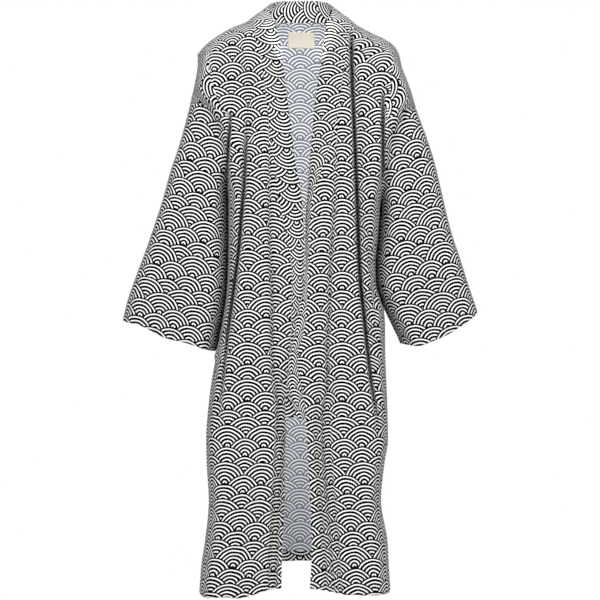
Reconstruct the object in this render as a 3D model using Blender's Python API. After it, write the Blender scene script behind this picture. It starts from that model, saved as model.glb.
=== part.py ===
"""Cotton yukata robe, filled out and hung with no wearer: nine pieces of cloth as closed walls.

Metres, +Z up, front towards -Y, the wearer's right at -X. The origin is the middle of the neck at
shoulder level. A place on the cloth is worked out from an outward distance x from the middle, a height
z and a side: -1 is the wearer's right, +1 the wearer's left.
"""
import bpy
import numpy as np

WALL = 0.002
COLLAR_WALL = 0.003
TRIM_WALL = 0.0012
GAP = 0.0003
NECK_EASE = 0.0005
CORNER_EASE = 0.0009
ARMPIT_EASE = 0.0009
RIDGE_ROUND = 0.060
OUTER_ROUND = 0.028
SLEEVE_ROUND = 0.028
SLEEVE_DEPTH = 0.085
ARMHOLE_COLUMNS = 12
ARMHOLE_ROWS = 7
SIDE_STRIP = 0.014
FRONT_COLUMNS = 10
BACK_COLUMNS = 11
STRIP_COLUMNS = 4
LOWER_ROWS = 18
SLEEVE_ROWS = 10
LABEL_SIZE = (0.055, 0.0315)
LABEL_MIDDLE = (0.003, -0.0135)
TURN_UP = 0.020

RIGHT, LEFT = -1, 1

# distance out: height of the shoulder line
SHOULDER = {
    RIGHT: ((0.0, 0.040), (0.05, 0.035), (0.08, 0.020), (0.100, 0.0055), (0.138, -0.011),
            (0.169, -0.030), (0.203, -0.059), (0.24, -0.095)),
    LEFT: ((0.0, 0.040), (0.05, 0.035), (0.08, 0.020), (0.106, 0.000), (0.132, -0.015),
           (0.159, -0.028), (0.185, -0.044), (0.200, -0.066), (0.24, -0.11)),
}
# height: distance out of the arm's outer line, and of the sleeve's outer line below it
OUTER = {
    RIGHT: ((0.0, 0.208), (-0.059, 0.203), (-0.083, 0.2015), (-0.113, 0.205), (-0.154, 0.215),
            (-0.166, 0.2176), (-0.2455, 0.239), (-0.291, 0.2545), (-0.3405, 0.268), (-0.388, 0.283),
            (-0.449, 0.304), (-0.4915, 0.320), (-0.5515, 0.3405), (-0.5835, 0.348), (-0.66, 0.37)),
    LEFT: ((0.0, 0.197), (-0.060, 0.1975), (-0.083, 0.200), (-0.117, 0.211), (-0.162, 0.2265),
           (-0.170, 0.2287), (-0.216, 0.2455), (-0.2725, 0.264), (-0.3395, 0.280), (-0.406, 0.296),
           (-0.467, 0.316), (-0.515, 0.331), (-0.565, 0.348), (-0.66, 0.375)),
}
# height: distance out of the body's side, and of the sleeve's inner fold
SIDES = {
    RIGHT: ((0.04, 0.60, -0.40), (-0.10, 0.26, 0.00), (-0.15, 0.210, 0.050), (-0.205, 0.170, 0.090),
            (-0.256, 0.1555, 0.1155), (-0.301, 0.1485, 0.1335), (-0.3445, 0.1410, 0.1426),
            (-0.358, 0.1399, 0.1435), (-0.40, 0.1398, 0.1434), (-0.465, 0.1404, 0.1439),
            (-0.52, 0.1425, 0.1461), (-0.564, 0.1475, 0.1512), (-0.60, 0.1540, 0.1580),
            (-0.6475, 0.1635, 0.1700), (-0.663, 0.1665, 0.190), (-0.7425, 0.1786, 0.21),
            (-0.816, 0.184, 0.20), (-0.861, 0.183, 0.21), (-0.935, 0.179, 0.22), (-1.02, 0.187, 0.23),
            (-1.059, 0.193, 0.23), (-1.12, 0.198, 0.23)),
    LEFT: ((0.04, 0.60, -0.36), (-0.10, 0.28, 0.03), (-0.15, 0.236, 0.080), (-0.205, 0.201, 0.121),
           (-0.2376, 0.188, 0.134), (-0.298, 0.1730, 0.1495), (-0.335, 0.1625, 0.1530),
           (-0.366, 0.1567, 0.1590), (-0.378, 0.1552, 0.1592), (-0.42, 0.1524, 0.1562),
           (-0.475, 0.1472, 0.1509), (-0.515, 0.1482, 0.1525), (-0.545, 0.1570, 0.1617),
           (-0.568, 0.1650, 0.1700), (-0.60, 0.167, 0.185), (-0.63, 0.167, 0.1985),
           (-0.7425, 0.171, 0.22), (-0.816, 0.1727, 0.23), (-0.861, 0.166, 0.23),
           (-0.935, 0.159, 0.23), (-1.02, 0.172, 0.23), (-1.059, 0.174, 0.23), (-1.12, 0.178, 0.23)),
}
# height: depth of the body before its middle plane, and how far its sides are rounded
DEPTH = ((0.04, 0.078, 0.040), (-0.05, 0.090, 0.036), (-0.15, 0.106, 0.030), (-0.30, 0.117, 0.028),
         (-0.50, 0.121, 0.028), (-0.60, 0.1235, 0.028), (-0.77, 0.128, 0.029), (-0.90, 0.132, 0.030),
         (-1.12, 0.135, 0.031))
# height: how softly body and arm run into each other, as a square of a depth
SADDLE = ((0.04, 0.0022), (-0.33, 0.0022), (-0.36, 0.0008), (-0.38, 0.0001), (-1.12, 0.0001))
# height: depth of the back against that of the front
BACK_SHARE = ((0.04, 1.0), (-0.15, 1.04), (-0.35, 0.98), (-0.60, 0.97), (-0.90, 1.0), (-1.12, 1.0))
# armhole seam from the outer line in: share of the way down, distance out, height
ARMHOLE = {
    RIGHT: ((0.0, 0.2176, -0.166), (0.12, 0.191, -0.169), (0.25, 0.168, -0.178), (0.40, 0.144, -0.190),
            (0.50, 0.130, -0.205)),
    LEFT: ((0.0, 0.2287, -0.170), (0.14, 0.205, -0.179), (0.28, 0.187, -0.189), (0.40, 0.1725, -0.199),
           (0.50, 0.161, -0.2075)),
}
# height: distance out of the lower armhole seam, which runs down the valley beside the sleeve
VALLEY = {
    RIGHT: ((-0.205, 0.130), (-0.256, 0.1357), (-0.301, 0.1400), (-0.3445, 0.1418), (-0.40, 0.1417)),
    LEFT: ((-0.2075, 0.161), (-0.2376, 0.161), (-0.298, 0.1612), (-0.335, 0.1577), (-0.370, 0.1576),
           (-0.42, 0.1545)),
}
# share of the way down the armhole: distance out of the crease where the cap turns down the arm
CAP_CREASE = {
    RIGHT: ((0.0, 0.2025), (0.12, 0.176), (0.25, 0.156), (0.40, 0.137), (0.50, 0.123), (0.70, 0.122),
            (1.0, 0.1305)),
    LEFT: ((0.0, 0.1965), (0.12, 0.182), (0.25, 0.174), (0.40, 0.164), (0.50, 0.151), (0.70, 0.147),
           (1.0, 0.142)),
}
# height, distance out of the seam between front and collar, then between front and overlap panel
FRONT_SEAM = {
    RIGHT: ((0.0055, 0.100), (-0.003, 0.0975), (-0.0245, 0.088), (-0.048, 0.0844), (-0.081, 0.0753),
            (-0.121, 0.0690), (-0.1645, 0.0640), (-0.204, 0.0595), (-0.384, 0.058), (-0.486, 0.0551),
            (-0.541, 0.0525), (-0.616, 0.0533), (-0.6725, 0.0518), (-0.716, 0.0461), (-0.763, 0.0424),
            (-0.826, 0.0442), (-0.920, 0.0498), (-1.014, 0.0554), (-1.12, 0.060)),
    LEFT: ((0.000, 0.106), (-0.012, 0.103), (-0.0285, 0.0957), (-0.055, 0.0915), (-0.087, 0.0867),
           (-0.137, 0.0787), (-0.185, 0.0729), (-0.261, 0.069), (-0.371, 0.0651), (-0.477, 0.0576),
           (-0.567, 0.0551), (-0.646, 0.0511), (-0.697, 0.0518), (-0.776, 0.0423), (-0.864, 0.046),
           (-0.958, 0.0535), (-1.033, 0.0592), (-1.12, 0.064)),
}
# height, distance out of the overlap panel's inner edge, which the collar covers down to COLLAR_END
PANEL_EDGE = {
    RIGHT: ((-0.204, 0.0595), (-0.270, 0.0500), (-0.335, 0.0416), (-0.397, 0.0312), (-0.450, 0.0198),
            (-0.488, 0.0151), (-0.582, 0.016), (-0.677, 0.0217), (-0.762, 0.0275), (-0.781, 0.0265),
            (-0.868, 0.0291), (-0.954, 0.0300), (-1.041, 0.0340), (-1.12, 0.0350)),
    LEFT: ((-0.185, 0.0729), (-0.223, 0.0634), (-0.261, 0.0539), (-0.314, 0.035), (-0.346, 0.0255),
           (-0.371, 0.0217), (-0.431, 0.0179), (-0.469, 0.017), (-0.5256, 0.0142), (-0.563, 0.0122),
           (-0.610, 0.0055), (-0.639, -0.0035), (-0.661, -0.0055), (-0.688, -0.0020), (-0.714, 0.0035),
           (-0.742, 0.0085), (-0.766, 0.0104), (-0.80, 0.0125), (-0.868, 0.016), (-0.954, 0.0197),
           (-1.026, 0.0216), (-1.12, 0.0175)),
}
PANEL_TOP = {RIGHT: -0.232, LEFT: -0.218}
COLLAR_END = -0.766
# row of the collar's table at the shoulder line
SHOULDER_STATION = 5
# collar from the middle of the back: seam out, seam height, then the free edge's out, y and height
COLLAR = {
    RIGHT: ((0.000, 0.018, 0.000, 0.050, 0.058), (0.030, 0.018, 0.020, 0.049, 0.058),
            (0.055, 0.0165, 0.038, 0.044, 0.056), (0.080, 0.0116, 0.052, 0.030, 0.050),
            (0.094, 0.0080, 0.060, 0.014, 0.043), (0.100, 0.0055, 0.0625, 0.000, 0.034),
            (0.0975, -0.003, 0.0585, -0.014, 0.019), (0.088, -0.0245, 0.050, -0.030, -0.002),
            (0.0844, -0.048, 0.0419, -0.051, -0.036), (0.0753, -0.081, 0.0350, -0.072, -0.076),
            (0.0690, -0.121, 0.0300, -0.090, -0.121), (0.0577, -0.204, 0.0185, -0.107, -0.205),
            (0.0500, -0.270, 0.0110, -0.1125, -0.270), (0.0416, -0.335, -0.0010, -0.1145, -0.335),
            (0.0312, -0.397, -0.0062, -0.1155, -0.397), (0.0198, -0.450, -0.0080, -0.1155, -0.450),
            (0.0151, -0.488, -0.0070, -0.1160, -0.488), (0.0155, -0.535, -0.0080, -0.1165, -0.535),
            (0.016, -0.582, -0.012, -0.1170, -0.582), (0.0217, -0.677, -0.016, -0.1190, -0.677),
            (0.0275, -0.766, -0.018, -0.1210, -0.766)),
    LEFT: ((0.000, 0.018, 0.000, 0.050, 0.058), (0.030, 0.018, 0.020, 0.049, 0.058),
           (0.055, 0.0165, 0.038, 0.044, 0.056), (0.082, 0.0100, 0.0525, 0.030, 0.050),
           (0.098, 0.0045, 0.061, 0.014, 0.042), (0.106, 0.000, 0.0655, 0.000, 0.032),
           (0.103, -0.012, 0.0600, -0.016, 0.016), (0.0957, -0.0285, 0.0522, -0.033, -0.001),
           (0.0915, -0.055, 0.0475, -0.055, -0.040), (0.0867, -0.087, 0.0415, -0.078, -0.083),
           (0.0787, -0.137, 0.0334, -0.094, -0.136), (0.0722, -0.185, 0.0265, -0.103, -0.187),
           (0.0634, -0.223, 0.0240, -0.107, -0.220), (0.0539, -0.261, 0.0205, -0.108, -0.257),
           (0.035, -0.314, 0.0165, -0.102, -0.312), (0.0255, -0.346, 0.0150, -0.097, -0.346),
           (0.0217, -0.371, 0.0125, -0.095, -0.371), (0.0179, -0.431, 0.0115, -0.096, -0.431),
           (0.017, -0.469, 0.0125, -0.103, -0.469), (0.0142, -0.5256, 0.0070, -0.1225, -0.5256),
           (0.0122, -0.563, -0.004, -0.1285, -0.563), (0.0055, -0.610, -0.0105, -0.1295, -0.606),
           (-0.0035, -0.639, -0.0165, -0.130, -0.634), (-0.0055, -0.661, -0.0215, -0.1305, -0.664),
           (-0.0020, -0.688, -0.0235, -0.131, -0.693), (0.0035, -0.714, -0.020, -0.1315, -0.716),
           (0.0085, -0.742, -0.0125, -0.132, -0.742), (0.0104, -0.766, -0.0047, -0.132, -0.766)),
}
# long folds of the front: height, distance out, depth
FOLDS = {
    RIGHT: ((-0.190, 0.096, 0.0), (-0.240, 0.0998, 0.007), (-0.275, 0.1035, 0.009),
            (-0.391, 0.1128, 0.010), (-0.509, 0.1257, 0.010), (-0.629, 0.1367, 0.008),
            (-0.688, 0.1442, 0.006), (-0.805, 0.1579, 0.005), (-0.925, 0.170, 0.0)),
    LEFT: ((-0.020, 0.0990, 0.0), (-0.060, 0.0992, 0.006), (-0.119, 0.1011, 0.011),
           (-0.179, 0.108, 0.012), (-0.291, 0.1089, 0.012), (-0.406, 0.1125, 0.012),
           (-0.522, 0.1181, 0.012), (-0.639, 0.1329, 0.010), (-0.734, 0.1446, 0.008),
           (-0.846, 0.1503, 0.005), (-0.93, 0.155, 0.0)),
}
FOLD_HALF = 0.015
# long folds of the back: height, distance out, depth
BACK_FOLDS = {
    RIGHT: ((-0.10, 0.110, 0.0), (-0.22, 0.112, 0.007), (-0.45, 0.104, 0.009), (-0.75, 0.100, 0.008),
            (-1.12, 0.108, 0.006)),
    LEFT: ((-0.08, 0.118, 0.0), (-0.20, 0.122, 0.008), (-0.42, 0.112, 0.010), (-0.70, 0.108, 0.008),
           (-1.12, 0.112, 0.005)),
}
# distance along x, height of the hem, of the fronts and of the back
FRONT_HEM = ((-0.20, -1.111), (-0.172, -1.104), (-0.139, -1.102), (-0.116, -1.1045), (-0.089, -1.098),
             (-0.063, -1.0895), (-0.035, -1.0857), (0.017, -1.0857), (0.035, -1.0875), (0.063, -1.093),
             (0.092, -1.0977), (0.122, -1.0985), (0.152, -1.098), (0.18, -1.109))
BACK_HEM = ((-0.20, -1.111), (-0.15, -1.100), (-0.08, -1.091), (0.0, -1.0876), (0.08, -1.090),
            (0.15, -1.099), (0.18, -1.109))
# sleeve rows: height at the inner line and at the outer line
SLEEVE_LEVELS = {
    RIGHT: ((-0.205, -0.166), (-0.3445, -0.288), (-0.45, -0.390), (-0.55, -0.489), (-0.6447, -0.5835)),
    LEFT: ((-0.2075, -0.170), (-0.370, -0.300), (-0.46, -0.387), (-0.55, -0.476), (-0.6300, -0.565)),
}
# share across the cuff from the outer line: drop of the cuff below its straight line
CUFF_DROP = {
    RIGHT: ((0.0, 0.0), (0.25, -0.004), (0.5, 0.003), (0.75, -0.001), (1.0, 0.0)),
    LEFT: ((0.0, 0.0), (0.25, 0.012), (0.5, 0.018), (0.75, 0.017), (1.0, 0.0)),
}


def along(table, at, column=1):
    """The value in a column at a place in a table's first column, on a smooth line with no overshoot."""
    rows = sorted(table)
    x = np.array([row[0] for row in rows], float)
    y = np.array([row[column] for row in rows], float)
    step = np.diff(x)
    slope = np.diff(y) / step
    tangent = np.zeros(len(x))
    tangent[0] = slope[0]
    tangent[-1] = slope[-1]
    same = slope[:-1] * slope[1:] > 0
    before = 2 * step[1:] + step[:-1]
    after = step[1:] + 2 * step[:-1]
    safe = np.where(same, slope[:-1] * slope[1:], 1.0)
    mean = (before + after) * safe / np.where(same, before * slope[1:] + after * slope[:-1], 1.0)
    tangent[1:-1] = np.where(same, mean, 0.0)
    at = np.asarray(at, float)
    i = np.clip(np.searchsorted(x, at) - 1, 0, len(step) - 1)
    t = np.clip((at - x[i]) / step[i], 0.0, 1.0)
    a = (1 + 2 * t) * (1 - t) ** 2 * y[i] + t * t * (3 - 2 * t) * y[i + 1]
    return a + step[i] * t * (1 - t) * ((1 - t) * tangent[i] - t * tangent[i + 1])


def ease(x):
    x = np.clip(x, 0.0, 1.0)
    return x * x * (3 - 2 * x)


def bulge(q):
    """Square of a rounded edge's height: 0 at the edge, 1 from q = 1, negative outside."""
    q = np.clip(q, -1.0, 1.0)
    return q * (2 - q)


def swell(side, x, z):
    """Square of the cloth's distance from the middle plane, before its folds."""
    out = np.maximum(x, 0.0)
    body = along(DEPTH, z, 1) ** 2 * bulge((along(SIDES[side], z, 1) - x) / along(DEPTH, z, 2))
    arm = SLEEVE_DEPTH ** 2 * bulge((x - along(SIDES[side], z, 2)) / SLEEVE_ROUND)
    soft = along(SADDLE, z)
    near = np.maximum(soft - np.abs(body - arm), 0.0) / soft
    both = np.maximum(body, arm) + near * near * soft / 4
    under = bulge((along(SHOULDER[side], out) - z) / RIDGE_ROUND)
    within = bulge((along(OUTER[side], z) - x) / OUTER_ROUND)
    outside = (under < 0) & (within < 0)
    return np.where(outside, -np.abs(under * within), under * within) * both


def crease(table, x, z, half):
    q = np.clip((x - along(table, z, 1)) / half, -1.0, 1.0)
    return along(table, z, 2) * np.cos(q * np.pi / 2) ** 2


def spread(side, x, z, face):
    """Signed square of the distance from the middle plane, folds included. face: -1 front, 1 back."""
    base = swell(side, x, z)
    root = np.maximum(np.sqrt(np.abs(base)), 0.05)
    if face < 0:
        share = 1.0
        fold = crease(FOLDS[side], x, z, FOLD_HALF)
    else:
        share = along(BACK_SHARE, z)
        fold = crease(BACK_FOLDS[side], x, z, 0.024)
    return base * (share - fold / root) ** 2


def layer(side, x, z):
    """How far a front is moved for the overlap: back for the lower one, forward for the upper one."""
    middle = ease((-0.36 - z) / 0.09) * ease((z + 0.86) / 0.08)
    if side == RIGHT:
        turn = 0.022 * ease((0.047 - x) / 0.02) * ease((-0.785 - z) / 0.03) * ease((z + 1.04) / 0.10)
        return 0.004 * middle * ease((0.065 - x) / 0.03) + turn
    return -0.0035 * middle * ease((0.060 - x) / 0.04)


def cloth(side, x, z, face):
    """Points and outward normals of the cloth's middle surface."""
    x, z = np.broadcast_arrays(np.asarray(x, float), np.asarray(z, float))
    value = spread(side, x, z, face)
    y = face * np.sqrt(np.maximum(value, 0.0))
    d = 1e-4
    nx = -(spread(side, x + d, z, face) - spread(side, x - d, z, face)) / (2 * d)
    nz = -(spread(side, x, z + d, face) - spread(side, x, z - d, face)) / (2 * d)
    if face < 0:
        y = y + layer(side, x, z)
    normal = np.stack([side * nx, 2 * y, nz], -1)
    normal /= np.linalg.norm(normal, axis=-1, keepdims=True)
    return np.stack([side * x, y + face * GAP / 2, z], -1), normal


def body_edge(side, z):
    """Distance out of the body's side at a height under the armhole."""
    low = along(SIDES[side], z, 1) - 0.03
    high = (along(SIDES[side], z, 1) + along(SIDES[side], z, 2)) / 2
    for _ in range(40):
        middle = (low + high) / 2
        inside = swell(side, middle, z) > 0
        low = np.where(inside, middle, low)
        high = np.where(inside, high, middle)
    return low


def sleeve_edge(side, z):
    """Distance out of the sleeve's inner fold at a height under the armhole."""
    high = along(SIDES[side], z, 2) + 0.03
    low = (along(SIDES[side], z, 1) + along(SIDES[side], z, 2)) / 2
    for _ in range(40):
        middle = (low + high) / 2
        inside = swell(side, middle, z) > 0
        high = np.where(inside, middle, high)
        low = np.where(inside, low, middle)
    return high


def armpit(side):
    """Height of the foot of the armhole, where the body's side meets the sleeve."""
    low, high = VALLEY[side][-1][0], VALLEY[side][1][0]
    for _ in range(40):
        middle = (low + high) / 2
        if swell(side, along(VALLEY[side], middle), middle) > 0:
            high = middle
        else:
            low = middle
    return float(high)


ARMPIT = {side: armpit(side) for side in (RIGHT, LEFT)}


def armhole_shares():
    """Shares down the armhole for the rows: close together at the ridge and at the armpit."""
    across = 0.5 - 0.5 * np.cos(np.pi * np.arange(ARMHOLE_COLUMNS + 1) / ARMHOLE_COLUMNS)
    upper = np.interp(across, (0.0, 0.30, 0.57, 0.84, 1.0), (0.0, 0.12, 0.25, 0.40, 0.50))
    lower = 0.5 + 0.5 * np.sin(np.pi / 2 * np.arange(1, ARMHOLE_ROWS + 1) / ARMHOLE_ROWS)
    return np.concatenate([upper, lower])


SHARES = armhole_shares()


def armhole(side, share):
    """Distance out and height of the armhole seam at a share of its way down."""
    share = np.asarray(share, float)
    top = VALLEY[side][0][0]
    z = np.where(share <= 0.5, along(ARMHOLE[side], share, 2), top + (ARMPIT[side] - top) * (share - 0.5) / 0.5)
    x = np.where(share <= 0.5, along(ARMHOLE[side], share, 1), along(VALLEY[side], z))
    return x, z


def seam_gap(share):
    """Half the gap at the armhole seam: wider at its corner and at the armpit, where the cloth bends."""
    corner = np.exp(-(((share - 0.56) / 0.12) ** 2))
    return GAP / 2 + CORNER_EASE * corner + ARMPIT_EASE * ease((share - 0.9) / 0.1)


def shifted(x, z, index, neighbour, by):
    """Moves a row's end point by a distance towards its neighbour."""
    dx, dz = x[neighbour] - x[index], z[neighbour] - z[index]
    length = np.hypot(dx, dz)
    x[index] += dx * by / length
    z[index] += dz * by / length


def spaced(start, end, count, centre, half, extra):
    """Places from start to end, closer together round a centre."""
    fine = np.linspace(start, end, 200)
    weight = 1 + extra * np.exp(-(((fine - centre) / half) ** 2))
    total = np.concatenate([[0.0], np.cumsum((weight[1:] + weight[:-1]) / 2)])
    return np.interp(np.linspace(0.0, total[-1], count + 1), total, fine)


def upper_height(side, x, share, top):
    return top(side, x) * (1 - share) + ARMPIT[side] * share


def half_row(side, share, start, top, folds, columns, neck=None):
    """One row above the armpit, from a start distance out to the armhole seam."""
    turn = float(along(CAP_CREASE[side], share))
    x = spaced(start, turn, columns, float(along(folds[side], -0.2 - 0.15 * share, 1)), 0.016, 2.0)
    if neck is not None:
        at_neck = np.concatenate([neck, np.linspace(neck[-1], turn, columns + 2 - len(neck))[1:]])
        x = at_neck + (x - at_neck) * ease(share / 0.3)
    z = upper_height(side, x, share, top)
    end_x, end_z = armhole(side, share)
    part = 1 - (1 - np.arange(1, STRIP_COLUMNS + 1) / STRIP_COLUMNS) ** (1 + share)
    down = z[-1] + (end_z - z[-1]) * part
    straight = x[-1] + (end_x - x[-1]) * part
    bowed = straight + (along(OUTER[side], down) - straight) * (1 - ease(share / 0.2))
    bowed[-1] = straight[-1]
    x = np.concatenate([x, bowed])
    z = np.concatenate([z, down])
    if 0 < share:
        shifted(x, z, -1, -2, seam_gap(share))
    return x, z


def lower_row(side, start, level, folds, columns):
    """One row below the armpit, from a start distance out to the body's side."""
    edge = float(body_edge(side, level))
    turn = edge - SIDE_STRIP
    centre = min(float(along(folds[side], level, 1)), turn)
    x = spaced(start, turn, columns, centre, 0.016, 2.0)
    part = 1 - (1 - np.arange(1, STRIP_COLUMNS + 1) / STRIP_COLUMNS) ** 2
    return np.concatenate([x, x[-1] + (edge - x[-1]) * part])


def shoulder_top(side, x):
    return along(SHOULDER[side], np.maximum(x, 0.0))


NECK = ((0.0, 0.018), (0.030, 0.018), (0.055, 0.0165), (0.080, 0.0116), (0.094, 0.008), (0.100, 0.0055))
NECK_LEFT = ((0.0, 0.018), (0.030, 0.018), (0.055, 0.0165), (0.082, 0.010), (0.098, 0.0045), (0.106, 0.0))
NECK_STATIONS = {
    RIGHT: np.array([0.0, 0.028, 0.053, 0.068, 0.080, 0.089, 0.095, 0.0985, 0.100]),
    LEFT: np.array([0.0, 0.028, 0.053, 0.070, 0.084, 0.094, 0.1005, 0.1045, 0.106]),
}


def back_top(side, x):
    neck = along(NECK if side == RIGHT else NECK_LEFT, x)
    end = 0.100 if side == RIGHT else 0.106
    return np.where(x < end, neck, along(SHOULDER[side], np.maximum(x, 0.0)))


def front_level(side, share):
    """Height where a front's row above the armpit meets the collar or the overlap panel."""
    low, high = -1.0, FRONT_SEAM[side][0][0]
    for _ in range(40):
        middle = (low + high) / 2
        x = along(FRONT_SEAM[side], middle)
        if upper_height(side, x, share, shoulder_top) > middle:
            low = middle
        else:
            high = middle
    return (low + high) / 2


def lower_levels():
    """Shares of the way from the armpit to the hem."""
    steps = np.linspace(0.03, 1.0, LOWER_ROWS)
    return np.concatenate([[0.006], steps])


def grid_faces(rows, columns):
    index = np.arange(rows * columns).reshape(rows, columns)
    a, b = index[:-1, :-1].ravel(), index[:-1, 1:].ravel()
    c, d = index[1:, 1:].ravel(), index[1:, :-1].ravel()
    return np.stack([a, b, c, d], 1)


def facing(points, normals, faces):
    """Turns the faces so that they look along the normals."""
    corner = points[faces]
    across = np.cross(corner[:, 2] - corner[:, 0], corner[:, 3] - corner[:, 1])
    with_normal = (across * normals[faces].sum(1)).sum(1)
    return faces if np.median(with_normal) > 0 else faces[:, ::-1]


def wall(name, points, normals, faces, thick, colour):
    """A closed wall of even thickness on both sides of a surface, its borders closed by strips."""
    points = points.reshape(-1, 3)
    normals = normals.reshape(-1, 3)
    faces = facing(points, normals, faces)
    count = len(points)
    outer = points + normals * thick / 2
    inner = points - normals * thick / 2
    edges = {}
    for face in faces:
        for a, b in zip(face, np.roll(face, -1)):
            if a != b:
                edges[(int(a), int(b))] = True
    polygons = [[int(v) for v in face] for face in faces]
    polygons += [[int(v) + count for v in face[::-1]] for face in faces]
    for a, b in edges:
        if (b, a) not in edges:
            polygons.append([b, a, a + count, b + count])
    tidy = []
    for polygon in polygons:
        kept = [v for i, v in enumerate(polygon) if v != polygon[i - 1]]
        if len(kept) > 2:
            tidy.append(kept)
    used = sorted({v for polygon in tidy for v in polygon})
    place = {v: i for i, v in enumerate(used)}
    everything = np.concatenate([outer, inner])
    mesh = bpy.data.meshes.new(name)
    mesh.from_pydata(everything[used].tolist(), [], [[place[v] for v in polygon] for polygon in tidy])
    mesh.update()
    material = bpy.data.materials.new(name)
    material.use_nodes = True
    shader = material.node_tree.nodes["Principled BSDF"]
    shader.inputs["Base Color"].default_value = (*colour, 1.0)
    shader.inputs["Roughness"].default_value = 0.85
    mesh.materials.append(material)
    thing = bpy.data.objects.new(name, mesh)
    bpy.context.collection.objects.link(thing)
    return thing


def front(side):
    points, normals = [], []
    for share in SHARES:
        start = float(along(FRONT_SEAM[side], front_level(side, share))) + GAP / 2
        x, z = half_row(side, share, start, shoulder_top, FOLDS, FRONT_COLUMNS)
        p, n = cloth(side, x, z, -1)
        points.append(p)
        normals.append(n)
    for part in lower_levels():
        level = ARMPIT[side] + (-1.10 - ARMPIT[side]) * part
        start = float(along(FRONT_SEAM[side], level)) + GAP / 2
        x = lower_row(side, start, level, FOLDS, FRONT_COLUMNS)
        z = ARMPIT[side] + (along(FRONT_HEM, side * x) - ARMPIT[side]) * part
        z[-1] = level + (along(FRONT_HEM, side * x[-1]) - -1.10) * part
        x[-1] = float(body_edge(side, z[-1]))
        p, n = cloth(side, x, z, -1)
        points.append(p)
        normals.append(n)
    name = "right_front" if side == RIGHT else "left_front"
    points = np.array(points)
    wall(name, points, np.array(normals), grid_faces(*points.shape[:2]), WALL, (0.30, 0.31, 0.33))


def back():
    points, normals = [], []
    for share in SHARES:
        p, n = [], []
        for side in (RIGHT, LEFT):
            x, z = half_row(side, share, 0.0, back_top, BACK_FOLDS, BACK_COLUMNS, NECK_STATIONS[side])
            mean = (ARMPIT[RIGHT] + ARMPIT[LEFT]) / 2
            z = z + share * (mean - ARMPIT[side]) * (1 - ease(x / 0.12))
            a, b = cloth(side, x, z, 1)
            p.append(a[::-1] if side == RIGHT else a[1:])
            n.append(b[::-1] if side == RIGHT else b[1:])
        points.append(np.concatenate(p))
        normals.append(np.concatenate(n))
    for part in lower_levels():
        p, n = [], []
        for side in (RIGHT, LEFT):
            level = ARMPIT[side] + (-1.10 - ARMPIT[side]) * part
            x = lower_row(side, 0.0, level, BACK_FOLDS, BACK_COLUMNS)
            mean = (ARMPIT[RIGHT] + ARMPIT[LEFT]) / 2
            top = ARMPIT[side] + (mean - ARMPIT[side]) * (1 - ease(x / 0.12))
            z = top + (along(BACK_HEM, side * x) - top) * part
            z[-1] = level + (along(FRONT_HEM, side * x[-1]) - -1.10) * part
            x[-1] = float(body_edge(side, z[-1]))
            a, b = cloth(side, x, z, 1)
            p.append(a[::-1] if side == RIGHT else a[1:])
            n.append(b[::-1] if side == RIGHT else b[1:])
        points.append(np.concatenate(p))
        normals.append(np.concatenate(n))
    points = np.array(points)
    wall("back", points, np.array(normals), grid_faces(*points.shape[:2]), WALL, (0.36, 0.37, 0.39))


def overlap_panel(side):
    points, normals = [], []
    levels = [front_level(side, share) for share in SHARES]
    levels += [ARMPIT[side] + (-1.10 - ARMPIT[side]) * part for part in lower_levels()]
    for level in levels:
        if level > PANEL_TOP[side]:
            continue
        outer = float(along(FRONT_SEAM[side], level)) - GAP / 2
        inner = float(along(PANEL_EDGE[side], level)) + GAP / 2
        x = np.linspace(outer, inner, 6)
        part = np.clip((level - ARMPIT[side]) / (-1.10 - ARMPIT[side]), 0.0, 1.0)
        z = level + (along(FRONT_HEM, side * x) + 1.10) * part
        p, n = cloth(side, x, z, -1)
        points.append(p)
        normals.append(n)
    name = "right_overlap_panel" if side == RIGHT else "left_overlap_panel"
    points = np.array(points)
    wall(name, points, np.array(normals), grid_faces(*points.shape[:2]), WALL, (0.42, 0.43, 0.46))


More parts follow.
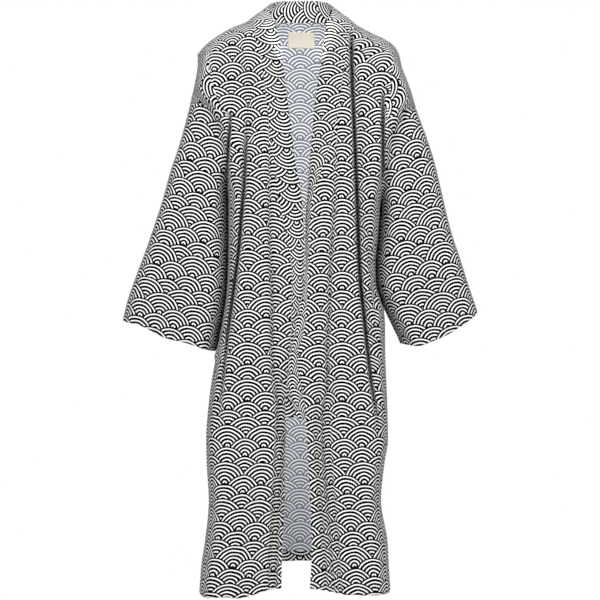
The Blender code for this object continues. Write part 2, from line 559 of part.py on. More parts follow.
def sleeve(side):
    """Rows run from the inner line at the front round the outer line to the inner line at the back."""
    across = 0.5 - 0.5 * np.cos(np.pi * np.arange(ARMHOLE_COLUMNS + 1) / ARMHOLE_COLUMNS)
    count = ARMHOLE_COLUMNS
    levels = SLEEVE_LEVELS[side]
    seam_shares = SHARES[ARMHOLE_COLUMNS:]
    inner = [float(armhole(side, s)[1]) for s in seam_shares]
    foot = ARMPIT[side]
    below = foot + (levels[-1][0] - foot) * np.concatenate([[0.016], np.linspace(0.08, 1.0, SLEEVE_ROWS)])
    inner = np.concatenate([inner, below])
    outer = np.interp(-inner, [-a for a, b in levels], [b for a, b in levels])
    length = len(inner)
    points = np.zeros((length, 2 * count + 1, 3))
    normals = np.zeros_like(points)
    seam_x, seam_z = armhole(side, SHARES[: count + 1])
    for i in range(length):
        closed = i > ARMHOLE_ROWS
        inside = float(sleeve_edge(side, inner[i])) if closed else float(armhole(side, seam_shares[i])[0])
        outside = float(along(OUTER[side], outer[i]))
        x = outside + (inside - outside) * across
        z = outer[i] + (inner[i] - outer[i]) * across
        fade = (1 - ease(i / 6.0))
        straight_x = seam_x[0] + (seam_x[-1] - seam_x[0]) * across
        straight_z = seam_z[0] + (seam_z[-1] - seam_z[0]) * across
        x = x + fade * (seam_x - straight_x)
        z = z + fade * (seam_z - straight_z)
        drop = along(CUFF_DROP[side], across) * ease((i - (length - 6)) / 5.0)
        z = z - drop
        if i == 0:
            for j in range(len(x)):
                x[j] += GAP * 0.4
                z[j] -= GAP * 1.6
        if i <= ARMHOLE_ROWS:
            shifted(x, z, -1, -2, seam_gap(seam_shares[i]))
        p, n = cloth(side, x, z, -1)
        q, m = cloth(side, x, z, 1)
        blend = np.minimum(np.abs(p[:, 1]) / 0.01, 1.0)
        p[:, 1] += GAP / 2 * (1 - blend)
        q[:, 1] -= GAP / 2 * (1 - blend)
        points[i, : count + 1] = p[::-1]
        points[i, count:] = q
        normals[i, : count + 1] = n[::-1]
        normals[i, count:] = m
        points[i, count, 1] = 0.0
        normals[i, count, 1] = 0.0
        if i >= ARMHOLE_ROWS:
            points[i, 0, 1] = 0.0
            points[i, -1] = points[i, 0]
            normals[i, 0, 1] = 0.0
            normals[i, -1] = normals[i, 0]
    faces = grid_faces(length, 2 * count + 1)
    last = np.arange(length) * (2 * count + 1) + 2 * count
    first = np.arange(length) * (2 * count + 1)
    swap = {int(a): int(b) for i, (a, b) in enumerate(zip(last, first)) if i >= ARMHOLE_ROWS}
    faces = np.array([[swap.get(int(v), int(v)) for v in face] for face in faces])
    name = "right_sleeve" if side == RIGHT else "left_sleeve"
    length_of = np.linalg.norm(normals, axis=-1, keepdims=True)
    wall(name, points, normals / length_of, faces, WALL, (0.33, 0.34, 0.36))


def seam_out(side, z):
    """Distance out of the seam between the collar and the front or its overlap panel."""
    return np.where(z > PANEL_EDGE[side][0][0], along(FRONT_SEAM[side], z), along(PANEL_EDGE[side], z))


def seam_vertices(side):
    """Where the collar meets the rows of the front and its overlap panel, from the neck down."""
    x, z = [], []
    for share in SHARES[1:]:
        z.append(front_level(side, share))
    for part in lower_levels():
        z.append(ARMPIT[side] + (-1.10 - ARMPIT[side]) * part)
    z = np.array([level for level in z if level > COLLAR_END - 0.045])
    x = seam_out(side, z)
    part = np.clip((z - ARMPIT[side]) / (-1.10 - ARMPIT[side]), 0.0, 1.0)
    return x, z + (along(FRONT_HEM, side * x) + 1.10) * part


def collar_line(side):
    """Stations of the collar from the middle of the back: seam points, seam normals and free edge."""
    table = COLLAR[side]
    middle = SHOULDER_STATION
    points, normals, free = [], [], []
    by_out = [(row[0], k) for k, row in enumerate(table[: middle + 1])]
    for out in NECK_STATIONS[side]:
        at_end = out == NECK_STATIONS[side][-1]
        z = float(along(SHOULDER[side], out)) if at_end else float(back_top(side, out))
        p, n = cloth(side, out, z, 1)
        if at_end:
            p[1] = 0.0
            n = np.array([n[0], 0.0, n[2]]) / np.hypot(n[0], n[2])
        points.append(p)
        normals.append(n)
        free.append(float(along(by_out, out)))
    x, z = seam_vertices(side)
    p, n = cloth(side, x, z, -1)
    levels = np.concatenate([[points[-1][2]], z])
    line = np.concatenate([[points[-1]], p])
    line_normals = np.concatenate([[normals[-1]], n])
    stations = [levels[1]]
    for above, below in zip(levels[1:-1], levels[2:]):
        if above - below > 0.022:
            stations.append((above + below) / 2)
        stations.append(below)
    stations = [level for level in stations if level > COLLAR_END + 0.004] + [COLLAR_END]
    by_level = [(row[1], k + middle) for k, row in enumerate(table[middle:])]
    for level in stations:
        points.append(np.array([np.interp(-level, -levels, line[:, c]) for c in range(3)]))
        n = np.array([np.interp(-level, -levels, line_normals[:, c]) for c in range(3)])
        normals.append(n / np.linalg.norm(n))
        free.append(float(along(by_level, level)))
    rows = [[(k, row[c]) for k, row in enumerate(table)] for c in (2, 3, 4)]
    out, y, z = (along(row, np.array(free)) for row in rows)
    return np.array(points), np.array(normals), np.stack([side * out, y, z], -1)


def collar():
    lines = []
    for side in (RIGHT, LEFT):
        seam, seam_normal, free = collar_line(side)
        if side == RIGHT:
            seam, seam_normal, free = seam[::-1], seam_normal[::-1], free[::-1]
        else:
            seam, seam_normal, free = seam[1:], seam_normal[1:], free[1:]
        lines.append((seam, seam_normal, free))
    seam, seam_normal, free = (np.concatenate([a, b]) for a, b in zip(*lines))
    columns = 4
    across = np.linspace(0.0, 1.0, columns + 1)
    towards = free - seam
    width = np.linalg.norm(towards, axis=1, keepdims=True)
    near_neck = ease((seam[:, 2:3] + 0.13) / 0.03)
    start = seam + towards / width * (GAP / 2 + NECK_EASE * near_neck)
    points = start[:, None, :] + across[None, :, None] * (free - start)[:, None, :]
    run = np.gradient(points, axis=0)
    cross = np.cross(run, (free - start)[:, None, :])
    cross /= np.linalg.norm(cross, axis=-1, keepdims=True)
    if (cross[len(cross) // 4] * seam_normal[len(cross) // 4]).sum() < 0:
        cross = -cross
    weight = np.clip(across * 3.0, 0.0, 1.0)[None, :, None]
    normals = seam_normal[:, None, :] * (1 - weight) + cross * weight
    normals /= np.linalg.norm(normals, axis=-1, keepdims=True)
    crown = 0.002 * np.sin(np.pi * across)[None, :, None]
    points = points + cross * crown
    wall("collar", points, normals, grid_faces(*points.shape[:2]), COLLAR_WALL, (0.25, 0.26, 0.28))


def lining_point(x, z, inward):
    """Points inside the back, moved in from its middle surface."""
    x, z = np.broadcast_arrays(np.asarray(x, float), np.asarray(z, float))
    points = np.zeros(x.shape + (3,))
    normals = np.zeros_like(points)
    for side in (RIGHT, LEFT):
        p, n = cloth(side, side * x, z, 1)
        pick = (x < 0) if side == RIGHT else (x >= 0)
        points[pick] = p[pick]
        normals[pick] = n[pick]
    return points - normals * inward, normals


def label():
    inward = WALL / 2 + 4 * GAP + TRIM_WALL / 2
    across = np.linspace(-0.5, 0.5, 7) * LABEL_SIZE[0]
    down = np.linspace(0.5, -0.5, 4) * LABEL_SIZE[1]
    x = LABEL_MIDDLE[0] + across[None, :] + 0.0 * down[:, None]
    z = LABEL_MIDDLE[1] + down[:, None] - 0.026 * across[None, :]
    points, normals = lining_point(x, z, inward)
    wall("label", points, normals, grid_faces(*points.shape[:2]), TRIM_WALL, (0.84, 0.80, 0.72))


def back_turn_up():
    inward = WALL / 2 + 5 * GAP + TRIM_WALL / 2
    halves = [lower_row(side, 0.0, -1.10, BACK_FOLDS, BACK_COLUMNS)[:-4] for side in (RIGHT, LEFT)]
    x = np.concatenate([-halves[0][::-1], halves[1][1:]])
    hem = along(BACK_HEM, x) + 0.0005
    z = np.stack([hem + TURN_UP, hem + TURN_UP / 2, hem])
    points, normals = lining_point(np.broadcast_to(x, z.shape), z, inward)
    wall("back_turn_up", points, normals, grid_faces(*points.shape[:2]), TRIM_WALL, (0.28, 0.29, 0.31))


for item in list(bpy.data.objects):
    bpy.data.objects.remove(item, do_unlink=True)

back()
for side in (RIGHT, LEFT):
    front(side)
    overlap_panel(side)
    sleeve(side)
collar()
label()
back_turn_up()
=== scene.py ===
"""Looks of the cotton yukata robe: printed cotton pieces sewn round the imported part, hung with no wearer.

Metres, +Z up, front towards -Y, the wearer's right at -X. A place on the cloth is worked out from an
outward distance x from the middle, a height z and a side, as in the part's source.
"""
import math

import bmesh
import bpy
import numpy as np
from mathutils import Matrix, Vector


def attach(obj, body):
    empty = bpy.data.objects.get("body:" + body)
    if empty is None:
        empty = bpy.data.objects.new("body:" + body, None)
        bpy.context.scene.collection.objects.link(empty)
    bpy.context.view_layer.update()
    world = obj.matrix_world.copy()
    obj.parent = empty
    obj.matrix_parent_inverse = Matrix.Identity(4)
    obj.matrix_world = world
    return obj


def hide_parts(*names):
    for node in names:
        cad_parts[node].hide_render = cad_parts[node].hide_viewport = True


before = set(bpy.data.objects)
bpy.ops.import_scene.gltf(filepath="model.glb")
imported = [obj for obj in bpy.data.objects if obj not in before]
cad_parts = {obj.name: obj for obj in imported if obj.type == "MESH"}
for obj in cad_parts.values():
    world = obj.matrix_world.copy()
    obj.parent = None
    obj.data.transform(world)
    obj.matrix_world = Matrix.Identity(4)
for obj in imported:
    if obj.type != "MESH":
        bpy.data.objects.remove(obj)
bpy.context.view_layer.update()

# thickness of the cloths
CLOTH_THICK = 0.0006
COLLAR_THICK = 0.0022
LABEL_THICK = 0.0005
# front and back keep this far apart where they meet in the middle plane
GAP = 0.0002

# how softly the shoulder ridge, the arm's outer line and the sleeve's inner fold are rounded
RIDGE_ROUND = 0.06
OUTER_ROUND = 0.028
SLEEVE_ROUND = 0.028
SLEEVE_DEPTH = 0.085
# long folds, front and back: half the width, and the cloth's depth below which they grow shallower
FOLD_HALF = 0.015
BACK_FOLD_HALF = 0.024
FOLDED_DEPTH = 0.05
# distance from the side over which body and sleeve are moved together
SIDE_FADE = 0.02

# the print, in metres of cloth: a disc's width, the rise from row to row, and the round of most discs
SCALE_ACROSS = 0.07
ROW_STEP = 0.0174
SMALL_ROUND = 0.0338
# its rings: radius of the core, distance from ring to ring, share of it that is white, and the dark rim
RING_START = 0.0015
RING_STEP = 0.0067
RING_SHARE = 0.41
RIM = 0.0009
# rows from one row of large discs to the next, and the share of that way in which a row counts as one
LARGE_EVERY = 4.5
LARGE_SHARE = 0.223
# how far a disc lies off its place, and how far a line wavers
DISC_SHIFT = 0.0022
LINE_SHIFT = 0.0024
THREAD_STEP = 0.0012

LABEL_SIZE = (0.055, 0.0315)
LABEL_MIDDLE = (0.003, -0.0135)
LABEL_SLOPE = 0.026
TURN_UP = 0.02
# how far inside the back's middle surface they lie
LABEL_INSIDE = 0.0012
TURN_UP_INSIDE = 0.0011

RIGHT, LEFT = -1, 1

# distance out: height of the shoulder line
SHOULDER = {
    RIGHT: ((0.0, 0.04), (0.05, 0.035), (0.08, 0.02), (0.1, 0.0055), (0.138, -0.011),
            (0.169, -0.03), (0.203, -0.059), (0.24, -0.095)),
    LEFT: ((0.0, 0.04), (0.05, 0.035), (0.08, 0.02), (0.106, 0.0), (0.132, -0.015),
           (0.159, -0.028), (0.185, -0.044), (0.2, -0.066), (0.24, -0.11)),
}
# height: distance out of the arm's outer line, and of the sleeve's outer line below it
OUTER = {
    RIGHT: ((0.0, 0.208), (-0.059, 0.203), (-0.083, 0.2015), (-0.113, 0.205), (-0.154, 0.215),
            (-0.166, 0.2176), (-0.2455, 0.239), (-0.291, 0.2545), (-0.3405, 0.268), (-0.388, 0.283),
            (-0.449, 0.304), (-0.4915, 0.32), (-0.5515, 0.3405), (-0.5835, 0.348), (-0.66, 0.37)),
    LEFT: ((0.0, 0.197), (-0.06, 0.1975), (-0.083, 0.2), (-0.117, 0.211), (-0.162, 0.2265),
           (-0.17, 0.2287), (-0.216, 0.2455), (-0.2725, 0.264), (-0.3395, 0.28), (-0.406, 0.296),
           (-0.467, 0.316), (-0.515, 0.331), (-0.565, 0.348), (-0.66, 0.375)),
}
# height: distance out of the body's side, and of the sleeve's inner fold
SIDES = {
    RIGHT: ((0.04, 0.6, -0.4), (-0.1, 0.26, 0.0), (-0.15, 0.21, 0.05), (-0.205, 0.17, 0.09),
            (-0.256, 0.1555, 0.1155), (-0.301, 0.1485, 0.1335), (-0.3445, 0.141, 0.1426),
            (-0.358, 0.1399, 0.1435), (-0.4, 0.1398, 0.1434), (-0.465, 0.1404, 0.1439),
            (-0.52, 0.1425, 0.1461), (-0.564, 0.1475, 0.1512), (-0.6, 0.154, 0.158),
            (-0.6475, 0.1635, 0.17), (-0.663, 0.1665, 0.19), (-0.7425, 0.1786, 0.21),
            (-0.816, 0.184, 0.2), (-0.861, 0.183, 0.21), (-0.935, 0.179, 0.22), (-1.02, 0.187, 0.23),
            (-1.059, 0.193, 0.23), (-1.12, 0.198, 0.23)),
    LEFT: ((0.04, 0.6, -0.36), (-0.1, 0.28, 0.03), (-0.15, 0.236, 0.08), (-0.205, 0.201, 0.121),
           (-0.2376, 0.188, 0.134), (-0.298, 0.173, 0.1495), (-0.335, 0.1625, 0.153),
           (-0.366, 0.1567, 0.159), (-0.378, 0.1552, 0.1592), (-0.42, 0.1524, 0.1562),
           (-0.475, 0.1472, 0.1509), (-0.515, 0.1482, 0.1525), (-0.545, 0.157, 0.1617),
           (-0.568, 0.165, 0.17), (-0.6, 0.167, 0.185), (-0.63, 0.167, 0.1985),
           (-0.7425, 0.171, 0.22), (-0.816, 0.1727, 0.23), (-0.861, 0.166, 0.23),
           (-0.935, 0.159, 0.23), (-1.02, 0.172, 0.23), (-1.059, 0.174, 0.23), (-1.12, 0.178, 0.23)),
}
# height: depth of the body before its middle plane, and how far its sides are rounded
DEPTH = ((0.04, 0.078, 0.04), (-0.05, 0.09, 0.036), (-0.15, 0.106, 0.03), (-0.3, 0.117, 0.028),
         (-0.5, 0.121, 0.028), (-0.6, 0.1235, 0.028), (-0.77, 0.128, 0.029), (-0.9, 0.132, 0.03),
         (-1.12, 0.135, 0.031))
# height: how softly body and arm run into each other, as a square of a depth
SADDLE = ((0.04, 0.0022), (-0.33, 0.0022), (-0.36, 0.0008), (-0.38, 0.0001), (-1.12, 0.0001))
# height: depth of the back against that of the front
BACK_SHARE = ((0.04, 1.0), (-0.15, 1.04), (-0.35, 0.98), (-0.6, 0.97), (-0.9, 1.0), (-1.12, 1.0))
# armhole seam from the outer line in: share of the way down, distance out, height
ARMHOLE = {
    RIGHT: ((0.0, 0.2176, -0.166), (0.12, 0.191, -0.169), (0.25, 0.168, -0.178), (0.4, 0.144, -0.19),
            (0.5, 0.13, -0.205)),
    LEFT: ((0.0, 0.2287, -0.17), (0.14, 0.205, -0.179), (0.28, 0.187, -0.189), (0.4, 0.1725, -0.199),
           (0.5, 0.161, -0.2075)),
}
# height: distance out of the lower armhole seam, which runs down the valley beside the sleeve
VALLEY = {
    RIGHT: ((-0.205, 0.13), (-0.256, 0.1357), (-0.301, 0.14), (-0.3445, 0.1418), (-0.4, 0.1417)),
    LEFT: ((-0.2075, 0.161), (-0.2376, 0.161), (-0.298, 0.1612), (-0.335, 0.1577), (-0.37, 0.1576),
           (-0.42, 0.1545)),
}
# share of the way down the armhole: distance out of the crease where the cap turns down the arm
CAP_CREASE = {
    RIGHT: ((0.0, 0.2025), (0.12, 0.176), (0.25, 0.156), (0.4, 0.137), (0.5, 0.123), (0.7, 0.122),
            (1.0, 0.1305)),
    LEFT: ((0.0, 0.1965), (0.12, 0.182), (0.25, 0.174), (0.4, 0.164), (0.5, 0.151), (0.7, 0.147),
           (1.0, 0.142)),
}
# height, distance out of the seam between front and collar, then between front and overlap panel
FRONT_SEAM = {
    RIGHT: ((0.0055, 0.1), (-0.003, 0.0975), (-0.0245, 0.088), (-0.048, 0.0844), (-0.081, 0.0753),
            (-0.121, 0.069), (-0.1645, 0.064), (-0.204, 0.0595), (-0.384, 0.058), (-0.486, 0.0551),
            (-0.541, 0.0525), (-0.616, 0.0533), (-0.6725, 0.0518), (-0.716, 0.0461), (-0.763, 0.0424),
            (-0.826, 0.0442), (-0.92, 0.0498), (-1.014, 0.0554), (-1.12, 0.06)),
    LEFT: ((0.0, 0.106), (-0.012, 0.103), (-0.0285, 0.0957), (-0.055, 0.0915), (-0.087, 0.0867),
           (-0.137, 0.0787), (-0.185, 0.0729), (-0.261, 0.069), (-0.371, 0.0651), (-0.477, 0.0576),
           (-0.567, 0.0551), (-0.646, 0.0511), (-0.697, 0.0518), (-0.776, 0.0423), (-0.864, 0.046),
           (-0.958, 0.0535), (-1.033, 0.0592), (-1.12, 0.064)),
}
# height, distance out of the overlap panel's inner edge, which the collar covers down to COLLAR_END
PANEL_EDGE = {
    RIGHT: ((-0.204, 0.0595), (-0.27, 0.05), (-0.335, 0.0416), (-0.397, 0.0312), (-0.45, 0.0198),
            (-0.488, 0.0151), (-0.582, 0.016), (-0.677, 0.0217), (-0.762, 0.0275), (-0.781, 0.0265),
            (-0.868, 0.0291), (-0.954, 0.03), (-1.041, 0.034), (-1.12, 0.035)),
    LEFT: ((-0.185, 0.0729), (-0.223, 0.0634), (-0.261, 0.0539), (-0.314, 0.035), (-0.346, 0.0255),
           (-0.371, 0.0217), (-0.431, 0.0179), (-0.469, 0.017), (-0.5256, 0.0142), (-0.563, 0.0122),
           (-0.61, 0.0055), (-0.639, -0.0035), (-0.661, -0.0055), (-0.688, -0.002), (-0.714, 0.0035),
           (-0.742, 0.0085), (-0.766, 0.0104), (-0.8, 0.0125), (-0.868, 0.016), (-0.954, 0.0197),
           (-1.026, 0.0216), (-1.12, 0.0175)),
}
COLLAR_END = -0.766
# collar round the neck, from the middle of the back: seam out, seam height, free edge's out, y, height
COLLAR_NECK = {
    RIGHT: ((0.0, 0.018, 0.0, 0.05, 0.058), (0.03, 0.018, 0.02, 0.049, 0.058),
            (0.055, 0.0165, 0.038, 0.044, 0.056), (0.08, 0.0116, 0.052, 0.03, 0.05),
            (0.094, 0.008, 0.06, 0.014, 0.043), (0.1, 0.0055, 0.0625, 0.0, 0.034)),
    LEFT: ((0.0, 0.018, 0.0, 0.05, 0.058), (0.03, 0.018, 0.02, 0.049, 0.058),
           (0.055, 0.0165, 0.038, 0.044, 0.056), (0.082, 0.01, 0.0525, 0.03, 0.05),
           (0.098, 0.0045, 0.061, 0.014, 0.042), (0.106, 0.0, 0.0655, 0.0, 0.032)),
}
# and on down the front: seam height, free edge's out, y, height
COLLAR_FRONT = {
    RIGHT: ((-0.003, 0.0585, -0.014, 0.019), (-0.0245, 0.05, -0.03, -0.002),
            (-0.048, 0.0419, -0.051, -0.036), (-0.081, 0.035, -0.072, -0.076),
            (-0.121, 0.03, -0.09, -0.121), (-0.204, 0.0185, -0.107, -0.205),
            (-0.27, 0.011, -0.1125, -0.27), (-0.335, -0.001, -0.1145, -0.335),
            (-0.397, -0.0062, -0.1155, -0.397), (-0.45, -0.008, -0.1155, -0.45),
            (-0.488, -0.007, -0.116, -0.488), (-0.535, -0.008, -0.1165, -0.535),
            (-0.582, -0.012, -0.117, -0.582), (-0.677, -0.016, -0.119, -0.677),
            (-0.766, -0.018, -0.121, -0.766)),
    LEFT: ((-0.012, 0.06, -0.016, 0.016), (-0.0285, 0.0522, -0.033, -0.001),
           (-0.055, 0.0475, -0.055, -0.04), (-0.087, 0.0415, -0.078, -0.083),
           (-0.137, 0.0334, -0.094, -0.136), (-0.185, 0.0265, -0.103, -0.187),
           (-0.223, 0.024, -0.107, -0.22), (-0.261, 0.0205, -0.108, -0.257),
           (-0.314, 0.0165, -0.102, -0.312), (-0.346, 0.015, -0.097, -0.346),
           (-0.371, 0.0125, -0.095, -0.371), (-0.431, 0.0115, -0.096, -0.431),
           (-0.469, 0.0125, -0.103, -0.469), (-0.5256, 0.007, -0.1225, -0.5256),
           (-0.563, -0.004, -0.1285, -0.563), (-0.61, -0.0105, -0.1295, -0.606),
           (-0.639, -0.0165, -0.13, -0.634), (-0.661, -0.0215, -0.1305, -0.664),
           (-0.688, -0.0235, -0.131, -0.693), (-0.714, -0.02, -0.1315, -0.716),
           (-0.742, -0.0125, -0.132, -0.742), (-0.766, -0.0047, -0.132, -0.766)),
}
# long folds of the front: height, distance out, depth
FOLDS = {
    RIGHT: ((-0.19, 0.096, 0.0), (-0.24, 0.0998, 0.007), (-0.275, 0.1035, 0.009),
            (-0.391, 0.1128, 0.01), (-0.509, 0.1257, 0.01), (-0.629, 0.1367, 0.008),
            (-0.688, 0.1442, 0.006), (-0.805, 0.1579, 0.005), (-0.925, 0.17, 0.0)),
    LEFT: ((-0.02, 0.099, 0.0), (-0.06, 0.0992, 0.006), (-0.119, 0.1011, 0.011),
           (-0.179, 0.108, 0.012), (-0.291, 0.1089, 0.012), (-0.406, 0.1125, 0.012),
           (-0.522, 0.1181, 0.012), (-0.639, 0.1329, 0.01), (-0.734, 0.1446, 0.008),
           (-0.846, 0.1503, 0.005), (-0.93, 0.155, 0.0)),
}
# long folds of the back: height, distance out, depth
BACK_FOLDS = {
    RIGHT: ((-0.1, 0.11, 0.0), (-0.22, 0.112, 0.007), (-0.45, 0.104, 0.009), (-0.75, 0.1, 0.008),
            (-1.12, 0.108, 0.006)),
    LEFT: ((-0.08, 0.118, 0.0), (-0.2, 0.122, 0.008), (-0.42, 0.112, 0.01), (-0.7, 0.108, 0.008),
           (-1.12, 0.112, 0.005)),
}
# distance along x, height of the hem, of the fronts and of the back
FRONT_HEM = ((-0.2, -1.111), (-0.172, -1.104), (-0.139, -1.102), (-0.116, -1.1045), (-0.089, -1.098),
             (-0.063, -1.0895), (-0.035, -1.0857), (0.017, -1.0857), (0.035, -1.0875), (0.063, -1.093),
             (0.092, -1.0977), (0.122, -1.0985), (0.152, -1.098), (0.18, -1.109))
BACK_HEM = ((-0.2, -1.111), (-0.15, -1.1), (-0.08, -1.091), (0.0, -1.0876), (0.08, -1.09),
            (0.15, -1.099), (0.18, -1.109))
# sleeve rows: height at the inner line and at the outer line
SLEEVE_LEVELS = {
    RIGHT: ((-0.205, -0.166), (-0.3445, -0.288), (-0.45, -0.39), (-0.55, -0.489), (-0.6447, -0.5835)),
    LEFT: ((-0.2075, -0.17), (-0.37, -0.3), (-0.46, -0.387), (-0.55, -0.476), (-0.63, -0.565)),
}
# share across the cuff from the outer line: drop of the cuff below its straight line
CUFF_DROP = {
    RIGHT: ((0.0, 0.0), (0.25, -0.004), (0.5, 0.003), (0.75, -0.001), (1.0, 0.0)),
    LEFT: ((0.0, 0.0), (0.25, 0.012), (0.5, 0.018), (0.75, 0.017), (1.0, 0.0)),
}
# height: distance out of the line from which the print of the cap hangs down the arm
CAP_BORDER = {
    RIGHT: ((0.02, 0.18), (-0.04, 0.178), (-0.063, 0.1745), (-0.092, 0.1706), (-0.13, 0.165),
            (-0.157, 0.157), (-0.18, 0.148), (-0.205, 0.138)),
    LEFT: ((0.02, 0.176), (-0.06, 0.178), (-0.09, 0.176), (-0.13, 0.172), (-0.16, 0.17),
           (-0.185, 0.168), (-0.208, 0.161)),
}
# height: distance out of the line along which a front's print runs
GRAIN = {
    RIGHT: ((0.05, 0.0985), (-0.35, 0.0985), (-0.6, 0.0985), (-0.846, 0.1047), (-1.12, 0.14)),
    LEFT: ((0.05, 0.079), (-0.35, 0.079), (-0.6, 0.078), (-0.809, 0.0806), (-0.953, 0.0943),
           (-1.12, 0.11)),
}
# height from which the print is measured up, and where the overlap panels' print starts there
GRAIN_LEVEL = -0.35
PANEL_PRINT = {RIGHT: (0.01, 0.006), LEFT: (0.022, 0.004)}
# how far the sleeve's grain leans out
SLEEVE_LEAN = math.radians(20)
# width of the collar's print, where it starts, and how far the strip bows out between its edges
COLLAR_PRINT = (0.045, 0.005)
COLLAR_BOW = 0.0022
# distance out where the neck ends and the shoulder seam starts
NECK_END = {side: COLLAR_NECK[side][-1][0] for side in (RIGHT, LEFT)}
# height of the level that the rows below the armpit are counted down to
LOWEST = -1.1


def along(table, at, column=1):
    """The value in a column at a place in a table's first column, on a smooth line with no overshoot."""
    rows = sorted(table)
    x = np.array([row[0] for row in rows], float)
    y = np.array([row[column] for row in rows], float)
    step = np.diff(x)
    slope = np.diff(y) / step
    tangent = np.zeros(len(x))
    tangent[0] = slope[0]
    tangent[-1] = slope[-1]
    same = slope[:-1] * slope[1:] > 0
    before = 2 * step[1:] + step[:-1]
    after = step[1:] + 2 * step[:-1]
    safe = np.where(same, slope[:-1] * slope[1:], 1.0)
    mean = (before + after) * safe / np.where(same, before * slope[1:] + after * slope[:-1], 1.0)
    tangent[1:-1] = np.where(same, mean, 0.0)
    at = np.asarray(at, float)
    i = np.clip(np.searchsorted(x, at) - 1, 0, len(step) - 1)
    t = np.clip((at - x[i]) / step[i], 0.0, 1.0)
    a = (1 + 2 * t) * (1 - t) ** 2 * y[i] + t * t * (3 - 2 * t) * y[i + 1]
    return a + step[i] * t * (1 - t) * ((1 - t) * tangent[i] - t * tangent[i + 1])


def ease(x):
    """0 up to x = 0, 1 from x = 1 on, and a smooth rise between."""
    x = np.clip(x, 0.0, 1.0)
    return x * x * (3 - 2 * x)


def steps(count):
    """Even steps from 0 to 1."""
    return np.linspace(0.0, 1.0, count)


def bulge(q):
    """Square of a rounded edge's height: 0 at the edge, 1 from q = 1, negative outside."""
    q = np.clip(q, -1.0, 1.0)
    return q * (2 - q)


def beside(table, out, depths):
    """A crease's table: a seam's line moved out, with its own depths by height."""
    return [(z, along(table, z) + out, along(depths, z)) for z in np.linspace(-0.2, -1.12, 24)]


# narrow creases of the fronts: table of height, distance out and depth, then half the width
SEAM_DEPTH = ((-0.2, 0.0), (-0.28, 0.005), (-0.45, 0.008), (-0.8, 0.009), (-1.0, 0.007), (-1.12, 0.005))
EDGE_DEPTH = ((-0.2, 0.0), (-0.62, 0.0), (-0.72, 0.006), (-0.95, 0.008), (-1.12, 0.007))
CREASES = {
    RIGHT: (
        (((-0.18, 0.0985, 0.0), (-0.224, 0.1011, 0.008), (-0.28, 0.104, 0.016), (-0.337, 0.1068, 0.026),
          (-0.375, 0.1106, 0.03), (-0.45, 0.1165, 0.034), (-0.507, 0.1238, 0.036), (-0.563, 0.1313, 0.034),
          (-0.61, 0.137, 0.027), (-0.648, 0.1408, 0.017), (-0.72, 0.148, 0.008),
          (-0.8, 0.157, 0.0)), 0.005),
        (((-0.18, 0.131, 0.0), (-0.215, 0.133, 0.02), (-0.26, 0.137, 0.034), (-0.31, 0.14, 0.026),
          (-0.335, 0.1415, 0.0)), 0.0052),
        (((-0.045, 0.176, 0.0), (-0.063, 0.1745, 0.004), (-0.12, 0.167, 0.006), (-0.157, 0.155, 0.005),
          (-0.18, 0.148, 0.0)), 0.005),
        (beside(FRONT_SEAM[RIGHT], 0.0, SEAM_DEPTH), 0.0065),
        (beside(FRONT_SEAM[RIGHT], -0.012, EDGE_DEPTH), 0.0058),
        (((-0.02, 0.118, 0.0), (-0.06, 0.115, 0.006), (-0.12, 0.102, 0.007), (-0.19, 0.096, 0.006),
          (-0.26, 0.093, 0.0)), 0.008),
        (((-0.6, 0.094, 0.0), (-0.75, 0.1, 0.003), (-0.95, 0.104, 0.004), (-1.12, 0.11, 0.004)), 0.016)),
    LEFT: (
        (((-0.015, 0.0985, 0.0), (-0.05, 0.099, 0.018), (-0.092, 0.0992, 0.03), (-0.261, 0.1049, 0.038),
          (-0.356, 0.1087, 0.04), (-0.45, 0.1115, 0.04), (-0.507, 0.1143, 0.04), (-0.563, 0.12, 0.038),
          (-0.639, 0.1276, 0.032), (-0.705, 0.1351, 0.024), (-0.76, 0.144, 0.01),
          (-0.84, 0.15, 0.0)), 0.0052),
        (((-0.13, 0.158, 0.0), (-0.17, 0.158, 0.02), (-0.22, 0.1575, 0.034), (-0.27, 0.1575, 0.034),
          (-0.31, 0.157, 0.022), (-0.345, 0.155, 0.0)), 0.0052),
        (beside(FRONT_SEAM[LEFT], 0.0, SEAM_DEPTH), 0.0065),
        (beside(FRONT_SEAM[LEFT], -0.013, EDGE_DEPTH), 0.0065),
        (beside(FRONT_SEAM[LEFT], 0.013, EDGE_DEPTH), 0.0065),
        (((-0.36, 0.13, 0.0), (-0.45, 0.132, 0.008), (-0.55, 0.141, 0.009), (-0.66, 0.15, 0.0)), 0.007),
        (((-0.62, 0.09, 0.0), (-0.78, 0.098, 0.003), (-0.95, 0.102, 0.004), (-1.12, 0.106, 0.004)), 0.016)),
}
